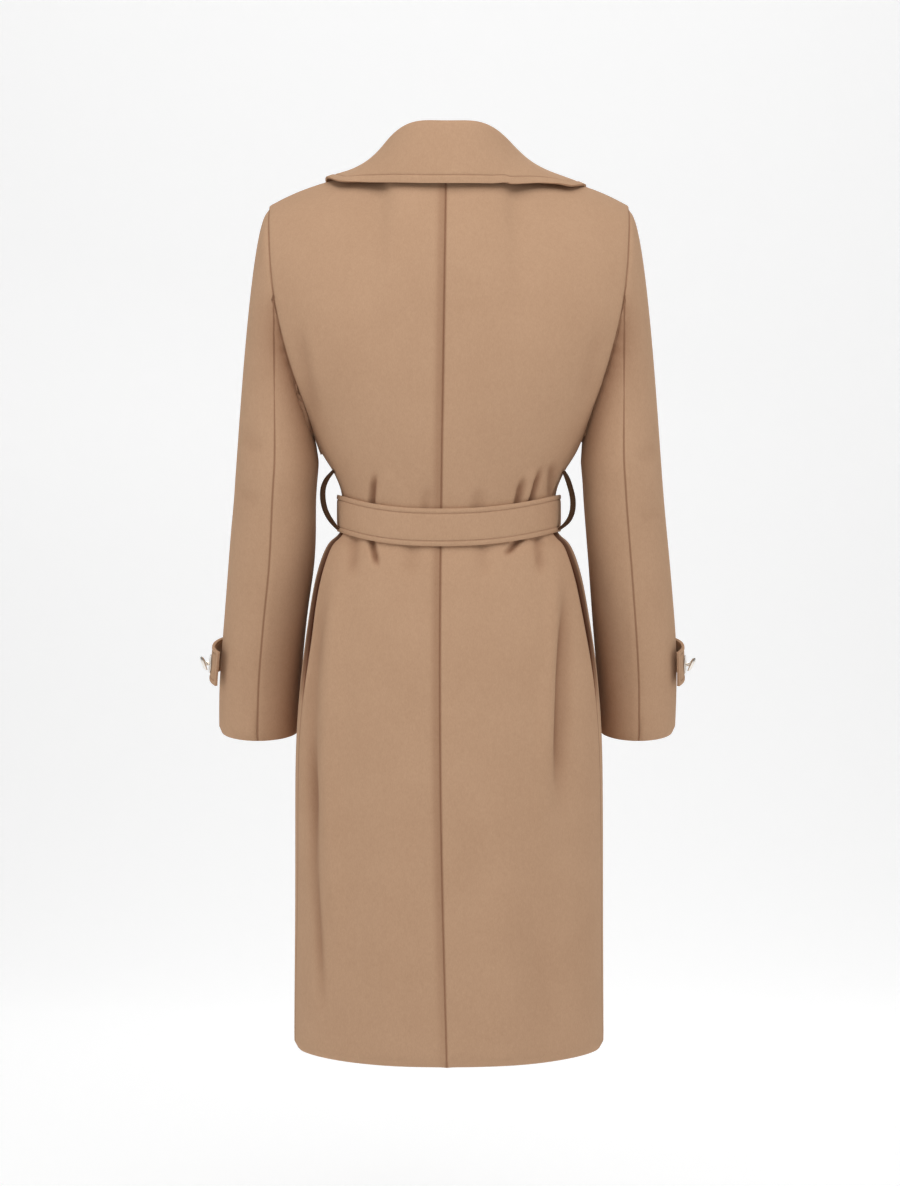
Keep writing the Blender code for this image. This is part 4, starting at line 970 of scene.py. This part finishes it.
# painted shade in the knot's grooves, deepest in the deepest groove
note(knot.data, "painted_shade", TROUGH_SHADE * sunk / DEEPEST_GROOVE)
knot.data.materials.clear()
knot.data.materials.append(camel)
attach(knot, "root")
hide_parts("belt_knot")
print("knot points:", len(places))

# %% [markdown]
# The turn-locks are cast metal: an oval plate, and a toggle that turns on a short post. Their sharp rims are
# rounded with a Bevel, and the polish is broken by very faint wear.

# %% Polish the turn-locks
METAL_WORN = (0.78, 0.73, 0.66)
METAL_BRIGHT = (0.88, 0.84, 0.78)
RIM_ROUNDING = 0.0004

metal = Look("pale_metal_polish")
wear = metal.noise(metal.place(), 420.0, 3.0)
metal.set(Base_Color=metal.colours(wear, METAL_WORN, METAL_BRIGHT), Metallic=1.0,
          Roughness=0.16 + wear * 0.12)
METAL_NODES = [name for name in sorted(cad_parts) if name.startswith("turnlock")]
for node in METAL_NODES:
    made = refined(node, 0)
    soften(made, "rim", RIM_ROUNDING, 30)
    made.data.materials.clear()
    made.data.materials.append(metal.material)
    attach(made, "root")
    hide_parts(node)
print("metal:", METAL_NODES)

# %% [markdown]
# ## What was cut
# Each cloth piece is cut from flat cloth. These are the sizes stated for it, width and length in metres, and
# the area where the cut is not a rectangle, with what the piece is sewn to or lies on. The areas agree with
# the sheets, but some widths and lengths are off: an under sleeve measures 0.17 at its widest and 0.52 to
# 0.56 in length, and straight down the cloth a back measures 1.10 and a front at least that.

# %% State the cut of each piece
CUTS = (
    # node, width, length, area or None, how it is held, the pieces it is sewn to or lies on
    ("back_left", 0.235, 1.03, 0.207, "hung", ("back_right", "front_left")),
    ("back_right", 0.245, 1.03, 0.218, "hung", ("back_left", "front_right")),
    ("front_left", 0.360, 1.04, 0.303, "hung", ("back_left",)),
    ("front_right", 0.360, 1.04, 0.303, "hung", ("back_right", "front_left")),
    ("top_sleeve_left", 0.185, 0.66, 0.098, "hung", ("back_left", "front_left")),
    ("top_sleeve_right", 0.185, 0.66, 0.098, "hung", ("back_right", "front_right")),
    ("under_sleeve_left", 0.125, 0.58, 0.062, "hung", ("top_sleeve_left",)),
    ("under_sleeve_right", 0.125, 0.58, 0.062, "hung", ("top_sleeve_right",)),
    ("collar", 0.580, 0.13, 0.0575, "folded", ("back_left", "back_right")),
    ("lapel_left", 0.070, 0.14, 0.0072, "folded", ("front_left",)),
    ("lapel_right", 0.088, 0.32, 0.0210, "folded", ("front_right",)),
    ("belt", 0.043, 0.76, None, "stretched", ("back_left", "back_right", "front_left", "front_right")),
    ("belt_end_long", 0.040, 0.305, None, "hung", ("front_right",)),
    ("belt_end_short", 0.040, 0.250, None, "hung", ("front_right",)),
    ("carrier_left", 0.010, 0.085, None, "hung", ("back_left", "belt")),
    ("carrier_right", 0.010, 0.085, None, "hung", ("back_right", "belt")),
    ("cuff_tab_left", 0.040, 0.125, None, "laid", ("top_sleeve_left",)),
    ("cuff_tab_right", 0.040, 0.125, None, "laid", ("top_sleeve_right",)),
)
for node, width, length, area, held, others in CUTS:
    measured = sum(face.area for face in sheets[node].data.polygons)
    print(node, "cut", round((area or width * length) * 1e4), "cm2, measured", round(measured * 1e4))
